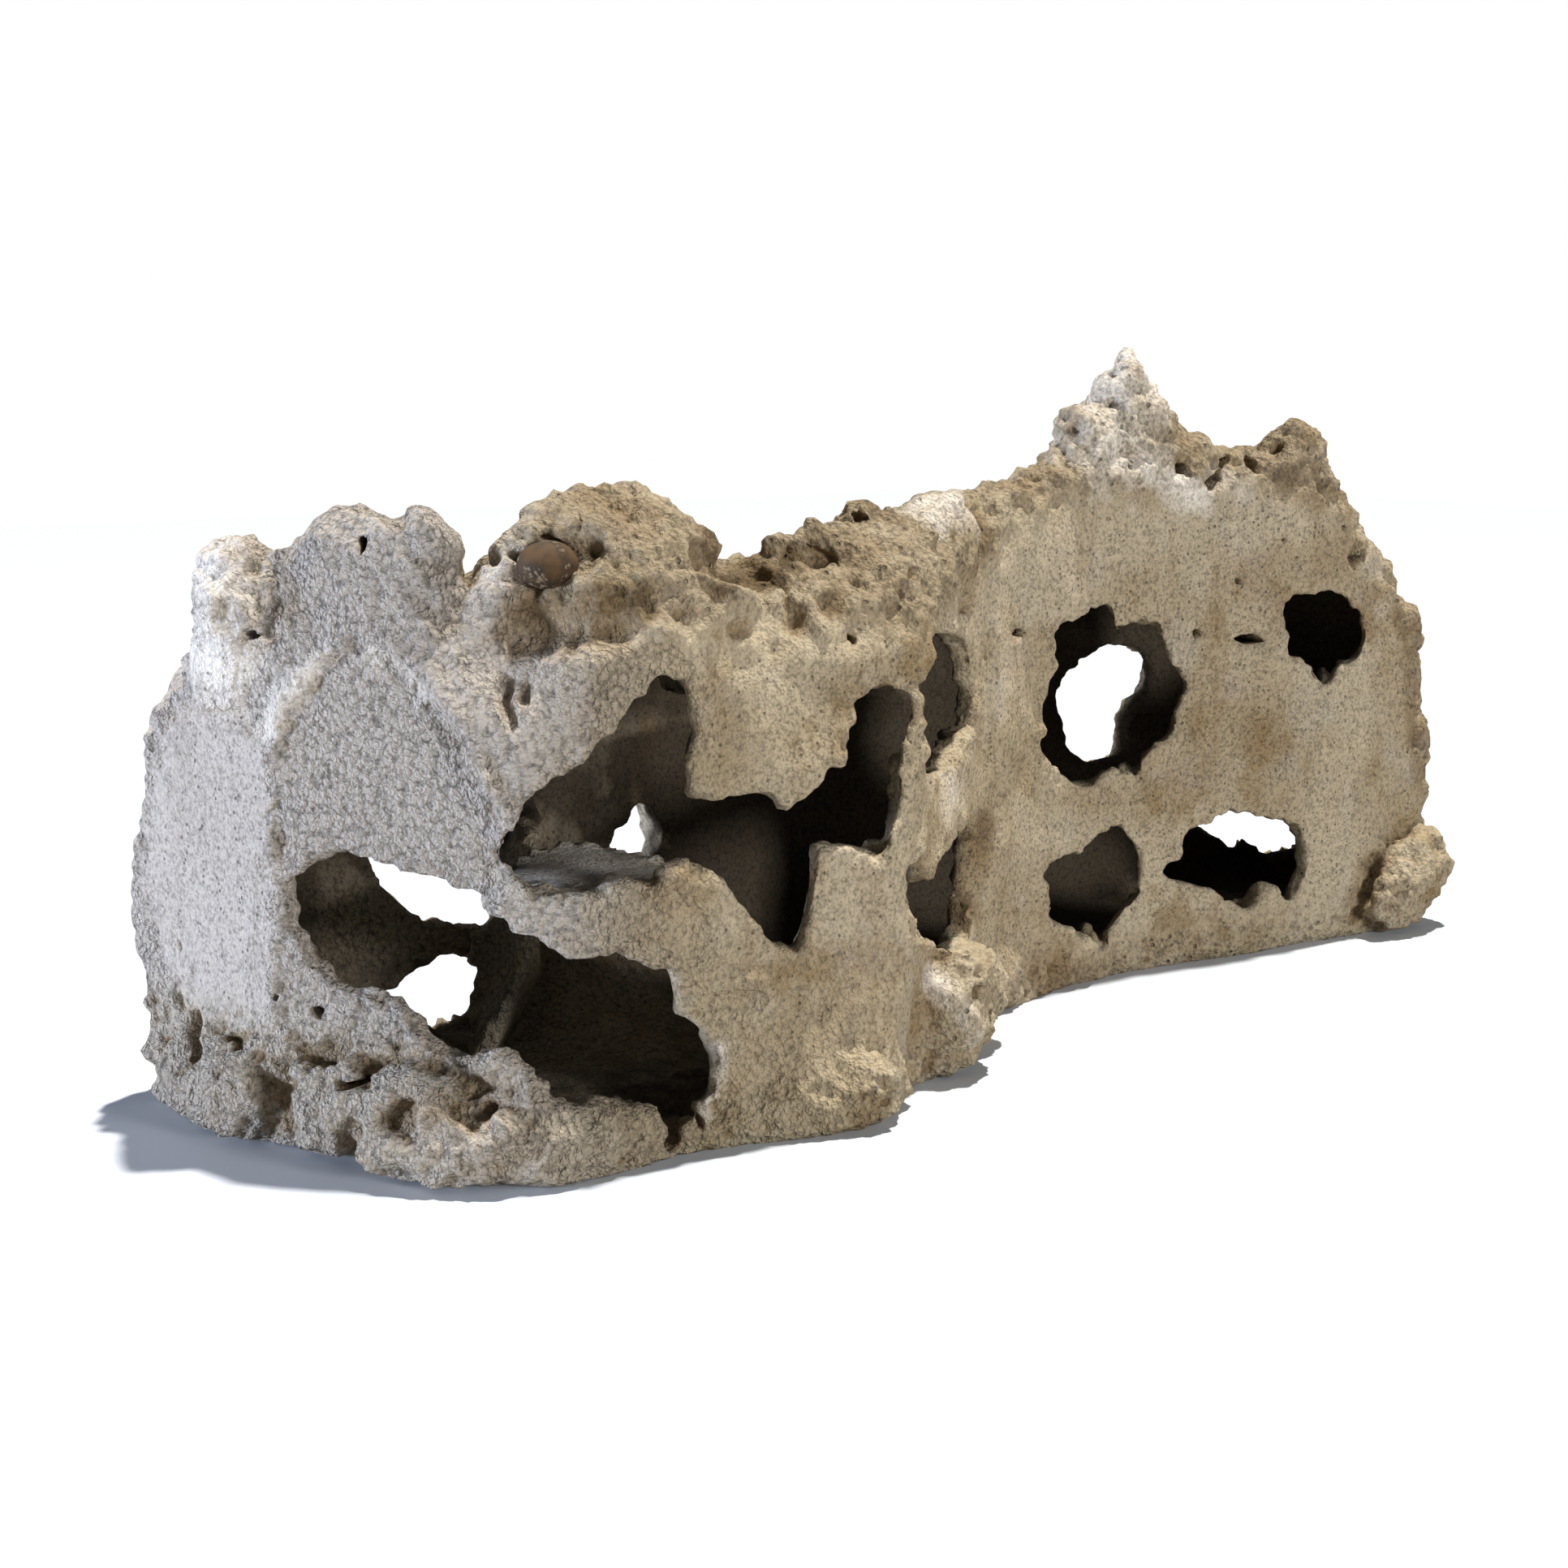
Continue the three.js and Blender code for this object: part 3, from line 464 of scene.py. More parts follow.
def masksAt(points, shelter):
    x, z = points[:, 0], points[:, 2]
    crestLine = np.interp(x, *zip(*stoneShape["crestFrom"]))
    footLine = np.interp(x, *zip(*stoneShape["footUpTo"]))
    deep = ramp(depthBehindFront(points), 5, 13) * (1 - ramp(z, 162, 176))
    inside = ramp(shelter + 0.24 * deep, 0.42, 0.66)
    patches = ramp(points[:, 1], 34, 56) * ramp(waves(points, stoneShape["backCrustSize"], 5.5), 0.05, 0.3)
    crest = np.maximum(ramp(z, crestLine - 6, crestLine + 14), 0.8 * patches) * (1 - inside)
    foot = (1 - ramp(z, footLine - 8, footLine + 8)) * (1 - inside)
    facet = np.zeros(len(points))
    for plane in facetPlanes:
        facet = np.maximum(facet, onPlane(points, plane))
    return {"inside": inside, "crest": crest, "foot": foot, "facet": facet}


def humpAt(points):  # the twin hump of the left end is grainy and has no crags
    x, y, z = points.T
    front = np.maximum(ramp(-y, -12, 0), ramp(x, -271, -263) * ramp(-y, -44, -28))
    return ramp(-x, 215, 228) * ramp(z, 150, 165) * front


def awayFromLine(across, up, start, end):
    (x0, y0), (x1, y1) = start, end
    t = np.clip(((across - x0) * (x1 - x0) + (up - y0) * (y1 - y0)) / ((x1 - x0) ** 2 + (y1 - y0) ** 2), 0, 1)
    return np.hypot(across - x0 - t * (x1 - x0), up - y0 - t * (y1 - y0))


def onPlane(points, plane):
    turn = math.radians(plane["facing"])
    right = np.array([math.cos(turn), math.sin(turn), 0])
    out = np.array([math.sin(turn), -math.cos(turn), 0])
    offset = points - np.array(plane["at"])
    across, up = offset @ right, offset[:, 2]
    inside = np.zeros(len(points), bool)
    closest = np.full(len(points), 1e3)
    rim = plane["rim"]
    for start, end in zip(rim, rim[1:] + rim[:1]):
        (x0, y0), (x1, y1) = start, end
        inside ^= ((y0 > up) != (y1 > up)) & (across < (x1 - x0) * (up - y0) / (y1 - y0 + 1e-9) + x0)
        closest = np.minimum(closest, awayFromLine(across, up, start, end))
    within = np.where(inside, closest, -closest)
    return ramp(within, -2, 2) * (1 - ramp(np.abs(offset @ out), 3, 6))


def awayFromPath(points, path):
    path = np.array(path, float)
    closest = np.full(len(points), 1e3)
    for start, end in zip(path, path[1:] if len(path) > 1 else path):
        along = end - start
        t = np.clip((points - start) @ along / max(along @ along, 1e-6), 0, 1)
        closest = np.minimum(closest, np.linalg.norm(points - start - t[:, None] * along, axis=1))
    return closest


def marksAt(points, marks, soft):  # adds up the marks, each fading out raggedly from its line
    total = np.zeros(len(points))
    for name, path, reach, strength in marks:
        low, high = np.min(path, axis=0) - reach * 1.4, np.max(path, axis=0) + reach * 1.4
        near = np.all((points > low) & (points < high), axis=1)
        spots = points[near]
        if not len(spots):
            print("nothing near", name)
            continue
        away = awayFromPath(spots, path) * (1 + 0.4 * waves(spots, stoneShape["markEdgeSize"], 4.9)) / reach
        total[near] += strength * (1 - np.clip(away, 0, 1) ** 2) ** soft
    return total


def roughen(piece, masks, rim):
    mesh = piece.data
    points, normals = readPoints(mesh), readNormals(mesh)
    crust = np.maximum(masks["crest"], masks["foot"])
    calm = 1 - masks["facet"]
    indoors = masks["inside"]
    atBack = ramp(points[:, 1], 30, 60)
    push = stoneShape["broadSwing"] * waves(points, stoneShape["broadSize"], 3.3) * calm
    push += stoneShape["backSwing"] * waves(points, stoneShape["backSize"], 6.1) * atBack * (1 - indoors)
    push += stoneShape["lumpSwing"] * waves(points, stoneShape["lumpSize"], 9.1) * calm * (1 - 0.5 * indoors)
    where = crust > 0.02
    spots = points[where]
    lumpy = 0.75 - crags(spots, stoneShape["crustSize"], 1.7)
    lumpy += 0.5 * waves(spots, stoneShape["crustLumpSize"], 6.9)
    craggy = 0.5 - crags(spots, stoneShape["cragSize"], 8.3)
    crumbly = 0.42 - cells(spots, stoneShape["crumbSize"], 2.2)
    pocks = 1 - ramp(cells(spots, stoneShape["pockSize"], 5.1), 0.16, 0.34)
    pocks *= ramp(waves(spots, stoneShape["pockPatchSize"], 3.9), -0.15, 0.2)
    rough = (stoneShape["crustSwing"] * lumpy + stoneShape["cragSwing"] * craggy
             + stoneShape["crumbSwing"] * crumbly - stoneShape["pockDepth"] * pocks)
    push[where] += crust[where] * (1 - 0.8 * humpAt(spots)) * rough
    where = rim > 0.02
    spots = points[where]
    wide, middle, small = stoneShape["rimSizes"]
    ragged = 0.7 * waves(spots, wide, 2.8) + waves(spots, middle, 8.8) + 0.8 * waves(spots, small, 5.6) - 0.15
    push[where] += stoneShape["rimSwing"] * rim[where] * ragged
    middle, small = stoneShape["grainSizes"]
    fine = waves(points, middle, 11.3) + 0.7 * waves(points, small, 4.4)
    push += (stoneShape["grainSwing"] + stoneShape["crustGrain"] * crust) * fine * (1 - 0.6 * indoors)
    push += marksAt(points, relief, 1.5)
    grounded = ramp(points[:, 2], 0.3, 5)
    points += normals * (push * grounded)[:, None]
    points[:, 2] = np.maximum(points[:, 2], 0)
    writePoints(mesh, points)


def thinOut(piece, plain):  # fewer triangles where plain is 1
    group = piece.vertex_groups.new(name="plain")
    steps = np.maximum(1, np.round(plain * 10))
    for step in range(1, 11):
        chosen = np.flatnonzero(steps == step)
        if len(chosen):
            group.add(chosen.tolist(), step / 10, "REPLACE")
    thin = piece.modifiers.new("thin out", "DECIMATE")
    thin.use_collapse_triangulate = True
    thin.ratio = stoneShape["triangles"] / (2 * len(piece.data.polygons))
    thin.vertex_group = "plain"
    thin.vertex_group_factor = stoneShape["keepOutside"]
    applyModifiers(piece)
    piece.vertex_groups.clear()


def buildStone():
    piece = newObject("holeyStone", copyOfNode("stone"))
    rims = rimTree(piece.data)
    coarse = newObject("coarseStone", piece.data.copy())
    evenMesh(coarse, stoneShape["coarseVoxel"])
    shelter = shelterOf(coarse.data, stoneShape["caveReach"], 14)
    coarseTree = treeOf([v.co for v in coarse.data.vertices])
    bpy.data.objects.remove(coarse)
    print("stone: sheltered places found")
    evenMesh(piece, stoneShape["voxel"])
    points = readPoints(piece.data)
    masks = masksAt(points, nearest(coarseTree, shelter, points))
    rim = rimAt(rims, points)
    crust = np.maximum(masks["crest"], masks["foot"])
    soften(piece, stoneShape["seamRounds"], np.clip(marksAt(points, seamMarks, 0.5), 0, 1))
    soften(piece, stoneShape["smoothRounds"], 1 - np.maximum(0.8 * rim, 0.6 * crust))
    roughen(piece, masks, rim)
    bore(piece)
    print("stone: roughened and bored", len(piece.data.vertices))
    points = readPoints(piece.data)
    masks = masksAt(points, nearest(coarseTree, shelter, points))
    underside = 1 - ramp(points[:, 2], 0.5, 2)
    thinOut(piece, np.maximum(masks["inside"], underside))
    points = readPoints(piece.data)
    points[:, 2] = np.maximum(points[:, 2], 0)
    writePoints(piece.data, points)
    masks = masksAt(points, nearest(coarseTree, shelter, points))
    # Painted light in the hollow: these places lose the dark brown and its painted shade
    bareAndLit = np.clip(marksAt(points, bareAndLitMarks, 0.7), 0, 1)
    outdoors = 1 - masks["inside"] * (1 - bareAndLit)
    tan = ramp(points[:, 0], -228, -200)
    grainy = np.maximum(onPlane(points, facetPlanes[0]), humpAt(points))
    smoothFacet = onPlane(points, facetPlanes[1])
    # Marks from the table of stains plus a browner crest; in cracks and hollows they also carry painted shade
    stainAndShade = marksAt(points, stainAndShadeMarks, 0.7) + 0.45 * masks["crest"] * tan
    # Painted light: the left end is greyed toward a bluish grey where the bluish window light falls, fading
    # out to the right and on the crest and foot
    along = points[:, 0] - 0.25 * points[:, 1] + 14 * waves(points, stoneShape["coolLightTintEdgeSize"], 7.7)
    coolLightTint = (1 - ramp(along, -225, -140)) * (1 - 0.8 * masks["crest"] * tan) * (1 - 0.35 * masks["foot"])
    left = 0.8 * (1 - ramp(along, -175, -110)) * (1 - 0.6 * masks["crest"] * tan)
    left = np.maximum(left, 0.5 * (1 - ramp(points[:, 2], 50, 80)) * (1 - ramp(points[:, 0], -84, -66)))
    pale = np.clip(marksAt(points, paleMarks, 0.7), 0, 1)
    finish = {
        "inside": 1 - outdoors,
        "crust": np.maximum(masks["crest"], masks["foot"]),
        "grainy": np.maximum(grainy, left) * (1 - 0.85 * smoothFacet) * (1 - 0.7 * pale) * outdoors,
        # How walled in each vertex is within a short reach, used to paint shade and dirt into recesses
        "nook": shelterOf(piece.data, stoneShape["nookReach"], 9),
        "coolLightTint": coolLightTint * outdoors * (1 - bareAndLit),
        "pale": pale * outdoors,
        "stainAndShade": np.clip(stainAndShade, 0, 1) * outdoors,
        "shade": masks["crest"] * tan * (1 - pale) * outdoors,
    }
    for name, values in finish.items():
        attribute = piece.data.attributes.new(name, "FLOAT", "POINT")
        attribute.data.foreach_set("value", values.astype(np.float32))
    piece.data.shade_smooth()
    print("stone: triangles", len(piece.data.polygons), "outside", int((masks["inside"] < 0.5).sum()))
    return piece


# Node helpers for the materials
def newMaterial(name):
    material = bpy.data.materials.new(name)
    material.use_nodes = True
    nodes = material.node_tree.nodes
    return material, material.node_tree, nodes["Principled BSDF"]


def addNode(tree, kind, **settings):
    node = tree.nodes.new(kind)
    for key, value in settings.items():
        if key in node.inputs:
            node.inputs[key].default_value = value
        else:
            setattr(node, key, value)
    return node


def mathNode(tree, operation, first, second=None, clamp=False):
    node = tree.nodes.new("ShaderNodeMath")
    node.operation = operation
    node.use_clamp = clamp
    for socket, value in zip(node.inputs, (first, second)):
        if value is None:
            continue
        if isinstance(value, (int, float)):
            socket.default_value = value
        else:
            tree.links.new(value, socket)
    return node.outputs[0]


def rangeNode(tree, value, low, high, toLow=0.0, toHigh=1.0):
    node = tree.nodes.new("ShaderNodeMapRange")
    node.interpolation_type = "SMOOTHSTEP"
    for key, number in zip(("From Min", "From Max", "To Min", "To Max"), (low, high, toLow, toHigh)):
        node.inputs[key].default_value = number
    tree.links.new(value, node.inputs["Value"])
    return node.outputs["Result"]


def mixColour(tree, amount, first, second, blend="MIX"):
    node = tree.nodes.new("ShaderNodeMix")
    node.data_type = "RGBA"
    node.blend_type = blend
    for socket, value in zip((node.inputs[0], node.inputs[6], node.inputs[7]), (amount, first, second)):
        if isinstance(value, (int, float, tuple)):
            socket.default_value = value
        else:
            tree.links.new(value, socket)
    return node.outputs[2]


def mixNumber(tree, amount, first, second):
    node = addNode(tree, "ShaderNodeMix", data_type="FLOAT")
    for socket, value in zip((node.inputs[0], node.inputs[2], node.inputs[3]), (amount, first, second)):
        tree.links.new(value, socket)
    return node.outputs[0]


def noiseNode(tree, vector, scale, detail=3, rough=0.55):
    node = tree.nodes.new("ShaderNodeTexNoise")
    node.inputs["Scale"].default_value = scale
    node.inputs["Detail"].default_value = detail
    node.inputs["Roughness"].default_value = rough
    tree.links.new(vector, node.inputs["Vector"])
    return node.outputs["Fac"]


def sandGroup():  # grains of sand: their height, how light each is, and the dark pinholes between them
    group = bpy.data.node_groups.new("sandGrain", "ShaderNodeTree")
    for name, kind in (("Vector", "NodeSocketVector"), ("Scale", "NodeSocketFloat")):
        group.interface.new_socket(name, in_out="INPUT", socket_type=kind)
    for name in ("Height", "Lightness", "Dark"):
        group.interface.new_socket(name, in_out="OUTPUT", socket_type="NodeSocketFloat")
    inside = group.nodes.new("NodeGroupInput")
    outside = group.nodes.new("NodeGroupOutput")
    place, scale = inside.outputs["Vector"], inside.outputs["Scale"]
    soft = addNode(group, "ShaderNodeTexNoise", Detail=4, Roughness=0.7)
    group.links.new(place, soft.inputs["Vector"])
    group.links.new(mathNode(group, "MULTIPLY", scale, 0.55), soft.inputs["Scale"])
    grains = addNode(group, "ShaderNodeTexVoronoi", feature="F1")
    group.links.new(place, grains.inputs["Vector"])
    group.links.new(scale, grains.inputs["Scale"])
    holes = addNode(group, "ShaderNodeTexVoronoi", feature="F1")
    group.links.new(place, holes.inputs["Vector"])
    group.links.new(mathNode(group, "MULTIPLY", scale, 0.45), holes.inputs["Scale"])
    tint = addNode(group, "ShaderNodeSeparateColor")
    group.links.new(holes.outputs["Color"], tint.inputs[0])
    dark = mathNode(group, "MULTIPLY", rangeNode(group, tint.outputs[0], 0.62, 0.8),
                    rangeNode(group, holes.outputs["Distance"], 0.3, 0.12))
    height = mathNode(group, "ADD", mathNode(group, "MULTIPLY", soft.outputs["Fac"], 1.5),
                      mathNode(group, "MULTIPLY", grains.outputs["Distance"], -0.45))
    height = mathNode(group, "SUBTRACT", height, mathNode(group, "MULTIPLY", dark, 0.6))
    group.links.new(height, outside.inputs["Height"])
    group.links.new(rangeNode(group, height, 0.15, 0.85), outside.inputs["Lightness"])
    group.links.new(dark, outside.inputs["Dark"])
    return group


stoneFinish = {
    "grainScale": 900.0,
    "coarseScale": 520,
    "gapScale": 430,
    "crustScale": 560.0,
    "sand": srgb(170, 155, 128),
    # A bluish grey, for grey patches of sand and for the painted window light on the left end
    "paleSand": srgb(190, 177, 153),
    "greySandAndCoolLight": srgb(190, 182, 175),
    # Whitish crust colour, also used for painted highlights and painted light on lit flanks, ridges and
    # ledges
    "whiteCrustAndHighlight": srgb(236, 228, 218),
    "stainAndShade": srgb(134, 107, 66),
    # Dark brown of the hollow, partly the stone's darker inner surface and partly painted shade
    "earthAndHollowShade": srgb(58, 48, 35),
    "darkGrain": srgb(70, 58, 42),
    "bump": 1.0 * mm,
    "broadScale": 14,
    "patchyScale": 42,
    "mottleScale": 24,
    "streakScale": 55,
    "wobble": 3.6 * mm,
    "plainHeight": 0.7,  # how strongly the plain and the rough places and the mottles stand out
    "roughHeight": 1.1,
    "mottleHeight": 4,
    "shadeTo": 0.92,
    "roughness": 0.93,
}


def stoneMaterial(sand):
    material, tree, shader = newMaterial("sandyLimestone")
    place = addNode(tree, "ShaderNodeTexCoord").outputs["Object"]

    def attribute(name):
        return addNode(tree, "ShaderNodeAttribute", attribute_name=name).outputs["Fac"]

    def grainsAt(scale):
        grain = addNode(tree, "ShaderNodeGroup", node_tree=sand, Scale=scale)
        tree.links.new(place, grain.inputs["Vector"])
        return grain
    inside, crust, grainy, nook = (attribute(n) for n in ("inside", "crust", "grainy", "nook"))
    coolLightTint, pale, stainAndShade, shade = (attribute(n) for n in ("coolLightTint", "pale", "stainAndShade", "shade"))
    grain, coarse = grainsAt(stoneFinish["grainScale"]), grainsAt(stoneFinish["crustScale"])
    broad = noiseNode(tree, place, stoneFinish["broadScale"], 4, 0.6)
    patchy = noiseNode(tree, place, stoneFinish["patchyScale"], 5, 0.62)
    mottle = noiseNode(tree, place, stoneFinish["mottleScale"], 7, 0.72)
    drawn = addNode(tree, "ShaderNodeVectorMath", operation="MULTIPLY")
    drawn.inputs[1].default_value = (1, 1, 0.22)
    tree.links.new(place, drawn.inputs[0])
    streaks = noiseNode(tree, drawn.outputs[0], stoneFinish["streakScale"], 3, 0.6)
    colour = mixColour(tree, rangeNode(tree, broad, 0.36, 0.66), stoneFinish["sand"], stoneFinish["paleSand"])
    colour = mixColour(tree, rangeNode(tree, streaks, 0.5, 0.72, 0, 0.4), colour, stoneFinish["stainAndShade"])
    colour = mixColour(tree, rangeNode(tree, mottle, 0.5, 0.66, 0, 0.6), colour, stoneFinish["stainAndShade"])
    colour = mixColour(tree, rangeNode(tree, mottle, 0.48, 0.34, 0, 0.6), colour, stoneFinish["paleSand"])
    # Painted light: the left end is greyed as if lit by the bluish window light
    colour = mixColour(tree, mathNode(tree, "MULTIPLY", coolLightTint, 0.85), colour, stoneFinish["greySandAndCoolLight"])
    colour = mixColour(tree, rangeNode(tree, patchy, 0.5, 0.75, 0, 0.35), colour, stoneFinish["greySandAndCoolLight"])
    # Painted shade, partly dirt: recesses walled in within a short reach (nook) are tinted brown
    recessShadeAndStain = rangeNode(tree, mathNode(tree, "ADD", nook, mathNode(tree, "MULTIPLY", patchy, 0.5)), 0.36, 0.8)
    dirtAndShadeStrength = mathNode(tree, "ADD", 0.3, mathNode(tree, "MULTIPLY", crust, 0.4))
    recessShadeAndStain = mathNode(tree, "MULTIPLY", recessShadeAndStain, dirtAndShadeStrength)
    # Marks from the table of stains: partly real brown stains, partly painted shade in cracks and hollows
    stainAndCreviceShade = mathNode(tree, "MULTIPLY", stainAndShade, rangeNode(tree, patchy, 0.3, 0.65, 0.35, 1))
    recessShadeAndStain = mathNode(tree, "MAXIMUM", recessShadeAndStain, mathNode(tree, "MULTIPLY", stainAndCreviceShade, 0.8))
    colour = mixColour(tree, recessShadeAndStain, colour, stoneFinish["stainAndShade"])
    # Pale crusts, and at some marks painted highlights and painted light
    crustAndHighlight = mathNode(tree, "MULTIPLY", pale, rangeNode(tree, patchy, 0.35, 0.6, 0.3, 1))
    colour = mixColour(tree, crustAndHighlight, colour, stoneFinish["whiteCrustAndHighlight"])
    # The hollow turns dark brown: partly the stone's darker inner surface, partly painted shade where little
    # light reaches
    colour = mixColour(tree, mathNode(tree, "MULTIPLY", inside, 0.92), colour, stoneFinish["earthAndHollowShade"])
    lumps = noiseNode(tree, place, stoneFinish["coarseScale"], 4, 0.65)
    wobble = addNode(tree, "ShaderNodeTexNoise", Scale=stoneFinish["coarseScale"], Detail=2)
    tree.links.new(place, wobble.inputs["Vector"])
    bent = addNode(tree, "ShaderNodeVectorMath", operation="MULTIPLY_ADD")
    bent.inputs[1].default_value = (stoneFinish["wobble"],) * 3
    tree.links.new(wobble.outputs["Color"], bent.inputs[0])
    tree.links.new(place, bent.inputs[2])
    spots = addNode(tree, "ShaderNodeTexVoronoi", feature="F1", Scale=stoneFinish["gapScale"])
    tree.links.new(bent.outputs[0], spots.inputs["Vector"])
    gaps = spots.outputs["Distance"]
    peel = mathNode(tree, "SUBTRACT", mathNode(tree, "MULTIPLY", lumps, 2.4),
                    mathNode(tree, "MULTIPLY", gaps, 2))
    tone = mathNode(tree, "SUBTRACT", rangeNode(tree, lumps, 0.3, 0.6, 0.68, 1.28),
                    rangeNode(tree, gaps, 0.35, 0.72, 0, 0.85))
    height = mixNumber(tree, crust, grain.outputs["Height"], coarse.outputs["Height"])
    height = mixNumber(tree, grainy, height, peel)
    light = mixNumber(tree, crust, grain.outputs["Lightness"], coarse.outputs["Lightness"])
    light = mixNumber(tree, grainy, light, tone)
    light = rangeNode(tree, light, -0.5, 1, 0.3, 1.2)
    light = mathNode(tree, "MULTIPLY", light, rangeNode(tree, grainy, 0, 1, 1, 1.12))
    light = mathNode(tree, "MULTIPLY", light, rangeNode(tree, shade, 0, 1, 1, stoneFinish["shadeTo"]))
    # Painted shade: the strongest marks, in cracks and hollows, are darkened further
    light = mathNode(tree, "MULTIPLY", light, rangeNode(tree, stainAndCreviceShade, 0.45, 1, 1, 0.62))
    lightColour = addNode(tree, "ShaderNodeCombineColor")
    for socket in lightColour.inputs:
        tree.links.new(light, socket)
    colour = mixColour(tree, 1.0, colour, lightColour.outputs[0], "MULTIPLY")
    specks = mathNode(tree, "MULTIPLY", grain.outputs["Dark"], rangeNode(tree, patchy, 0.35, 0.6, 0.1, 0.4))
    colour = mixColour(tree, specks, colour, stoneFinish["darkGrain"])
    tree.links.new(colour, shader.inputs["Base Color"])
    shader.inputs["Roughness"].default_value = stoneFinish["roughness"]
    rough = mathNode(tree, "MAXIMUM", grainy, crust)
    strong = mathNode(tree, "ADD", stoneFinish["plainHeight"],
                      mathNode(tree, "MULTIPLY", rough, stoneFinish["roughHeight"]))
    bump = addNode(tree, "ShaderNodeBump", Strength=1.0, Distance=stoneFinish["bump"])
    height = mathNode(tree, "ADD", mathNode(tree, "MULTIPLY", height, strong),
                      mathNode(tree, "MULTIPLY", mottle, stoneFinish["mottleHeight"]))
    tree.links.new(height, bump.inputs["Height"])
    tree.links.new(bump.outputs["Normal"], shader.inputs["Normal"])
    return material


pebbleFinish = {
    "brown": srgb(86, 62, 34),
    "darkBrown": srgb(48, 33, 19),
    "sandOn": srgb(150, 134, 106),
    "broadScale": 120,
    "grainScale": 700.0,
    "bump": 0.3 * mm,
    "roughness": 0.78,
}


def pebbleMaterial(sand):
    material, tree, shader = newMaterial("brownPebble")
    place = addNode(tree, "ShaderNodeTexCoord").outputs["Object"]
    broad = noiseNode(tree, place, pebbleFinish["broadScale"], 4, 0.6)
    colour = mixColour(tree, rangeNode(tree, broad, 0.35, 0.65), pebbleFinish["brown"],
                       pebbleFinish["darkBrown"])
    grain = addNode(tree, "ShaderNodeGroup", node_tree=sand, Scale=pebbleFinish["grainScale"])
    tree.links.new(place, grain.inputs["Vector"])
    stuck = mathNode(tree, "MULTIPLY", rangeNode(tree, grain.outputs["Lightness"], 0.6, 0.85),
                     rangeNode(tree, broad, 0.5, 0.62))
    colour = mixColour(tree, mathNode(tree, "MULTIPLY", stuck, 0.7), colour, pebbleFinish["sandOn"])
    tree.links.new(colour, shader.inputs["Base Color"])
    shader.inputs["Roughness"].default_value = pebbleFinish["roughness"]
    bump = addNode(tree, "ShaderNodeBump", Strength=0.5, Distance=pebbleFinish["bump"])
    tree.links.new(mathNode(tree, "MULTIPLY", grain.outputs["Height"], stuck), bump.inputs["Height"])
    tree.links.new(bump.outputs["Normal"], shader.inputs["Normal"])
    return material


def buildPebble():
    piece = newObject("brownPebble", copyOfNode("pebble"))
    smooth = piece.modifiers.new("round off", "SUBSURF")
    smooth.levels = smooth.render_levels = 2
    applyModifiers(piece)
    piece.data.shade_smooth()
    return piece


studio = {
    "floorSize": 6,
    "floor": srgb(212, 219, 231),
    "floorBounce": srgb(150, 150, 150),
    "floorRoughness": 0.9,
    "sky": (0.93, 0.96, 1.0, 1),
    "skyStrength": 0.1,
    "sun": {"aim": (-0.2, -0.03, -1.0), "strength": 4.6, "colour": (1, 0.95, 0.86), "spread": 2.0},
    "window": {"at": (-1.75, 0.39, 0.14), "aim": (-0.3, 0.0, 0.12), "size": 0.26, "watts": 34,
               "colour": (0.7, 0.8, 1)},
    "front": {"at": (0.4, -2.3, 0.5), "aim": (0.0, 0.0, 0.12), "size": 0.5, "watts": 31,
              "colour": (1, 0.98, 0.95)},
}
cameraPlace = {"at": (-0.5650, -0.6821, 0.2560), "azimuth": 36, "pitch": -10.44, "lens": 52.17,
               "sensor": 36}


def aimed(position, direction):
    turn = direction.to_track_quat("-Z", "Y").to_matrix().to_4x4()
    return Matrix.Translation(position) @ turn


def addLight(name, kind, facts):
    lamp = bpy.data.lights.new(name, kind)
    lamp.color = facts["colour"]
    place = Vector(facts.get("at", (0, 0, 1)))
    if kind == "SUN":
        lamp.energy = facts["strength"]
        lamp.angle = math.radians(facts["spread"])
        direction = Vector(facts["aim"])
    else:
        lamp.energy = facts["watts"]
        lamp.shape = "SQUARE"
        lamp.size = facts["size"]
        direction = Vector(facts["aim"]) - place
    piece = bpy.data.objects.new(name, lamp)
    scene.collection.objects.link(piece)
    piece.matrix_world = aimed(place, direction)


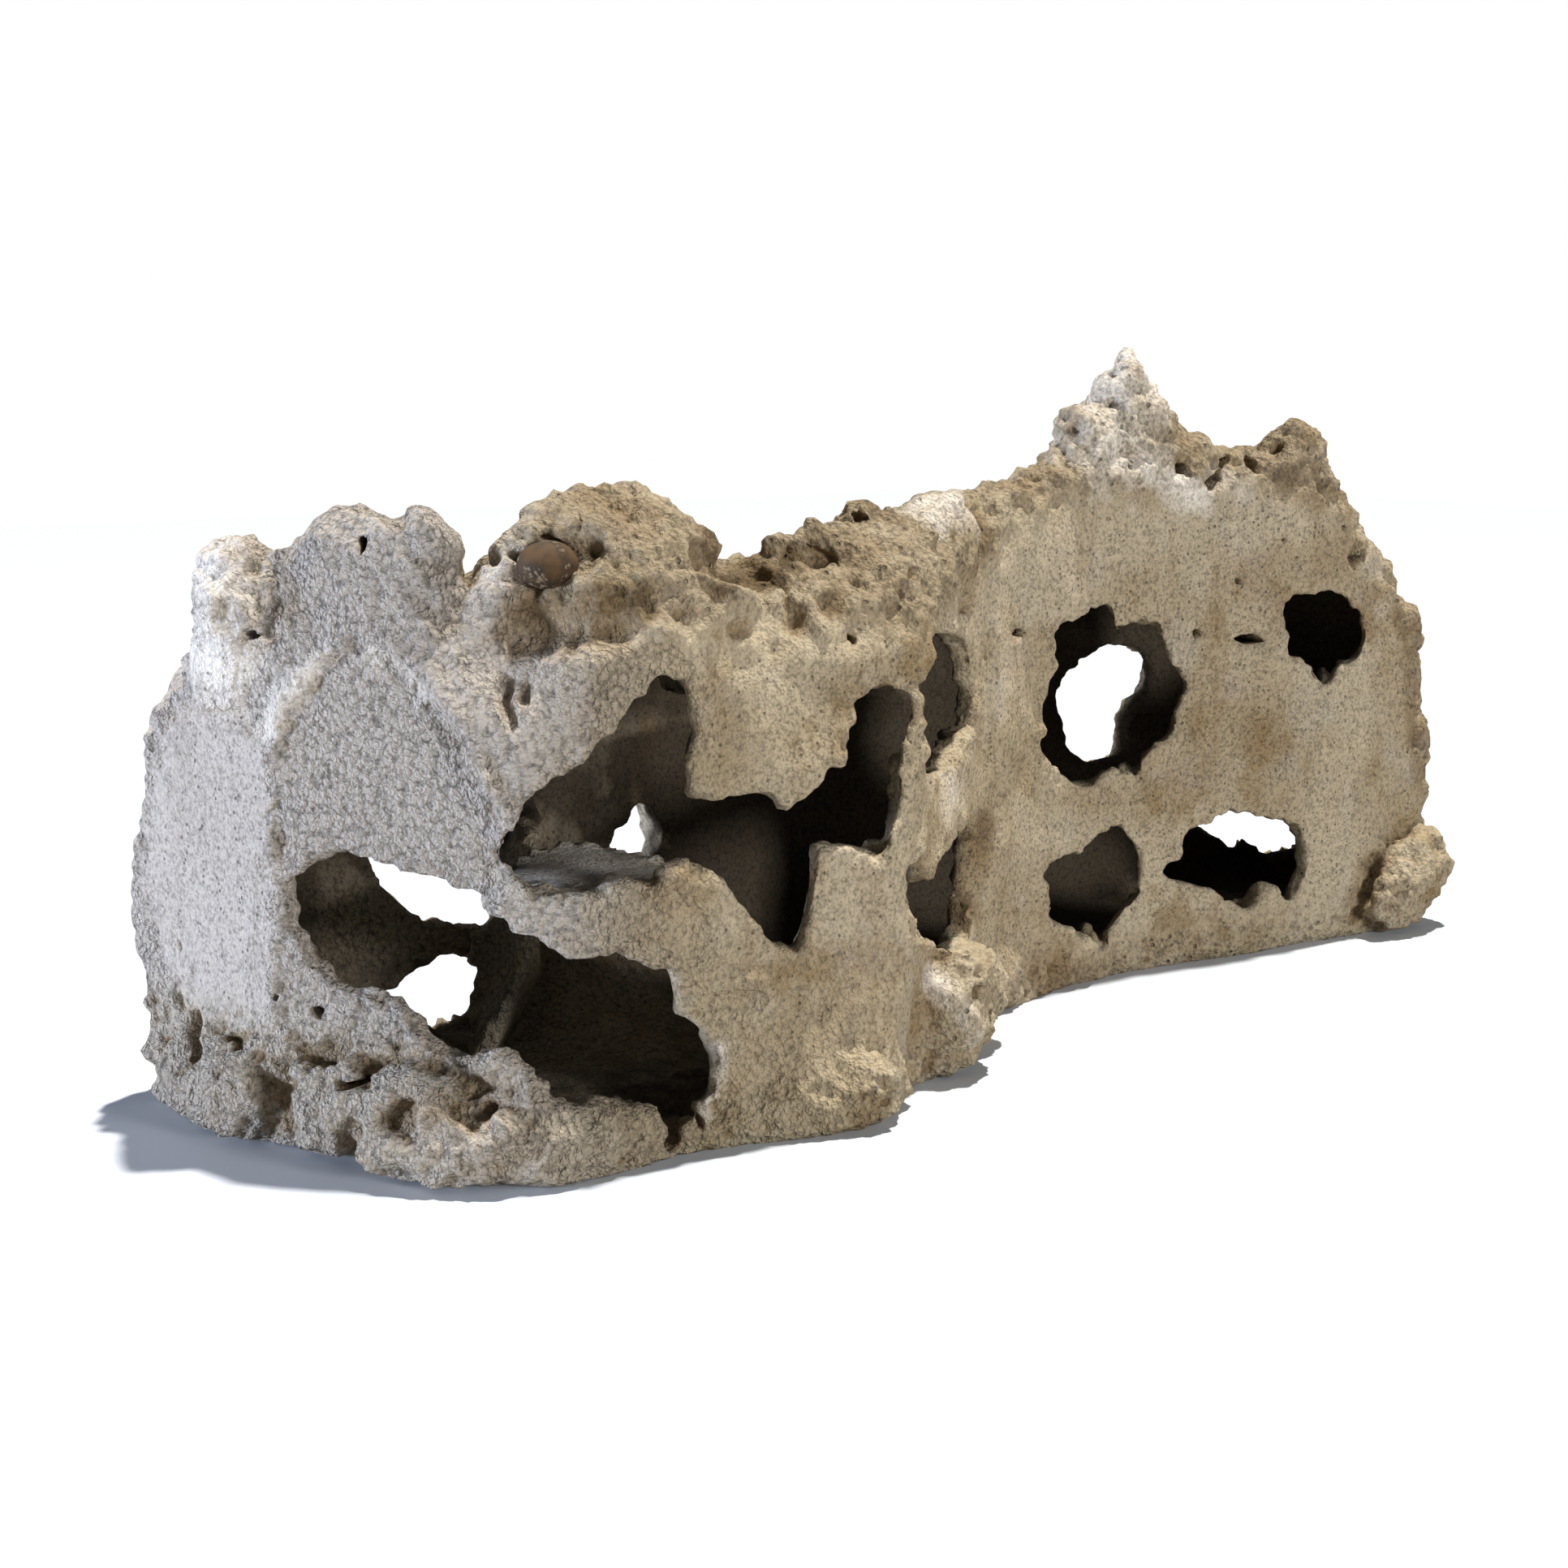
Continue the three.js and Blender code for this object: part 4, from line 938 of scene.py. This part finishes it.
def buildSky():  # a soft sky lights the object, and the camera sees plain white behind it
    world = bpy.data.worlds.new("studio")
    world.use_nodes = True
    tree = world.node_tree
    glow = tree.nodes["Background"]
    glow.inputs["Color"].default_value = studio["sky"]
    glow.inputs["Strength"].default_value = studio["skyStrength"]
    white = tree.nodes.new("ShaderNodeBackground")
    white.inputs["Color"].default_value = (1, 1, 1, 1)
    path = tree.nodes.new("ShaderNodeLightPath")
    either = tree.nodes.new("ShaderNodeMixShader")
    tree.links.new(path.outputs["Is Camera Ray"], either.inputs[0])
    tree.links.new(glow.outputs[0], either.inputs[1])
    tree.links.new(white.outputs[0], either.inputs[2])
    tree.links.new(either.outputs[0], tree.nodes["World Output"].inputs["Surface"])
    scene.world = world


def buildStudio():
    shape = bmesh.new()
    bmesh.ops.create_grid(shape, x_segments=1, y_segments=1, size=studio["floorSize"] / 2)
    mesh = bpy.data.meshes.new("floor")
    shape.to_mesh(mesh)
    shape.free()
    floor = newObject("floor", mesh)
    material, tree, shader = newMaterial("paleFloor")
    seen = addNode(tree, "ShaderNodeLightPath").outputs["Is Camera Ray"]
    tree.links.new(mixColour(tree, seen, studio["floorBounce"], studio["floor"]), shader.inputs["Base Color"])
    shader.inputs["Roughness"].default_value = studio["floorRoughness"]
    mesh.materials.append(material)
    buildSky()
    addLight("sun", "SUN", studio["sun"])
    addLight("window", "AREA", studio["window"])
    addLight("front", "AREA", studio["front"])
    lens = bpy.data.cameras.new("camera")
    lens.lens = cameraPlace["lens"]
    lens.sensor_width = cameraPlace["sensor"]
    lens.clip_start = 0.01
    camera = bpy.data.objects.new("camera", lens)
    scene.collection.objects.link(camera)
    turn, tilt = math.radians(cameraPlace["azimuth"]), math.radians(cameraPlace["pitch"])
    look = Vector((math.sin(turn) * math.cos(tilt), math.cos(turn) * math.cos(tilt), math.sin(tilt)))
    camera.matrix_world = aimed(Vector(cameraPlace["at"]), look)
    scene.camera = camera
    scene.view_settings.view_transform = "Standard"


buildStudio()
print("studio ready")
sand = sandGroup()
stone = buildStone()
stone.data.materials.clear()
stone.data.materials.append(stoneMaterial(sand))
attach(stone, "root")
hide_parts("stone")
pebble = buildPebble()
pebble.data.materials.clear()
pebble.data.materials.append(pebbleMaterial(sand))
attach(pebble, "root")
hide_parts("pebble")
print("pebble ready")

bpy.context.view_layer.update()
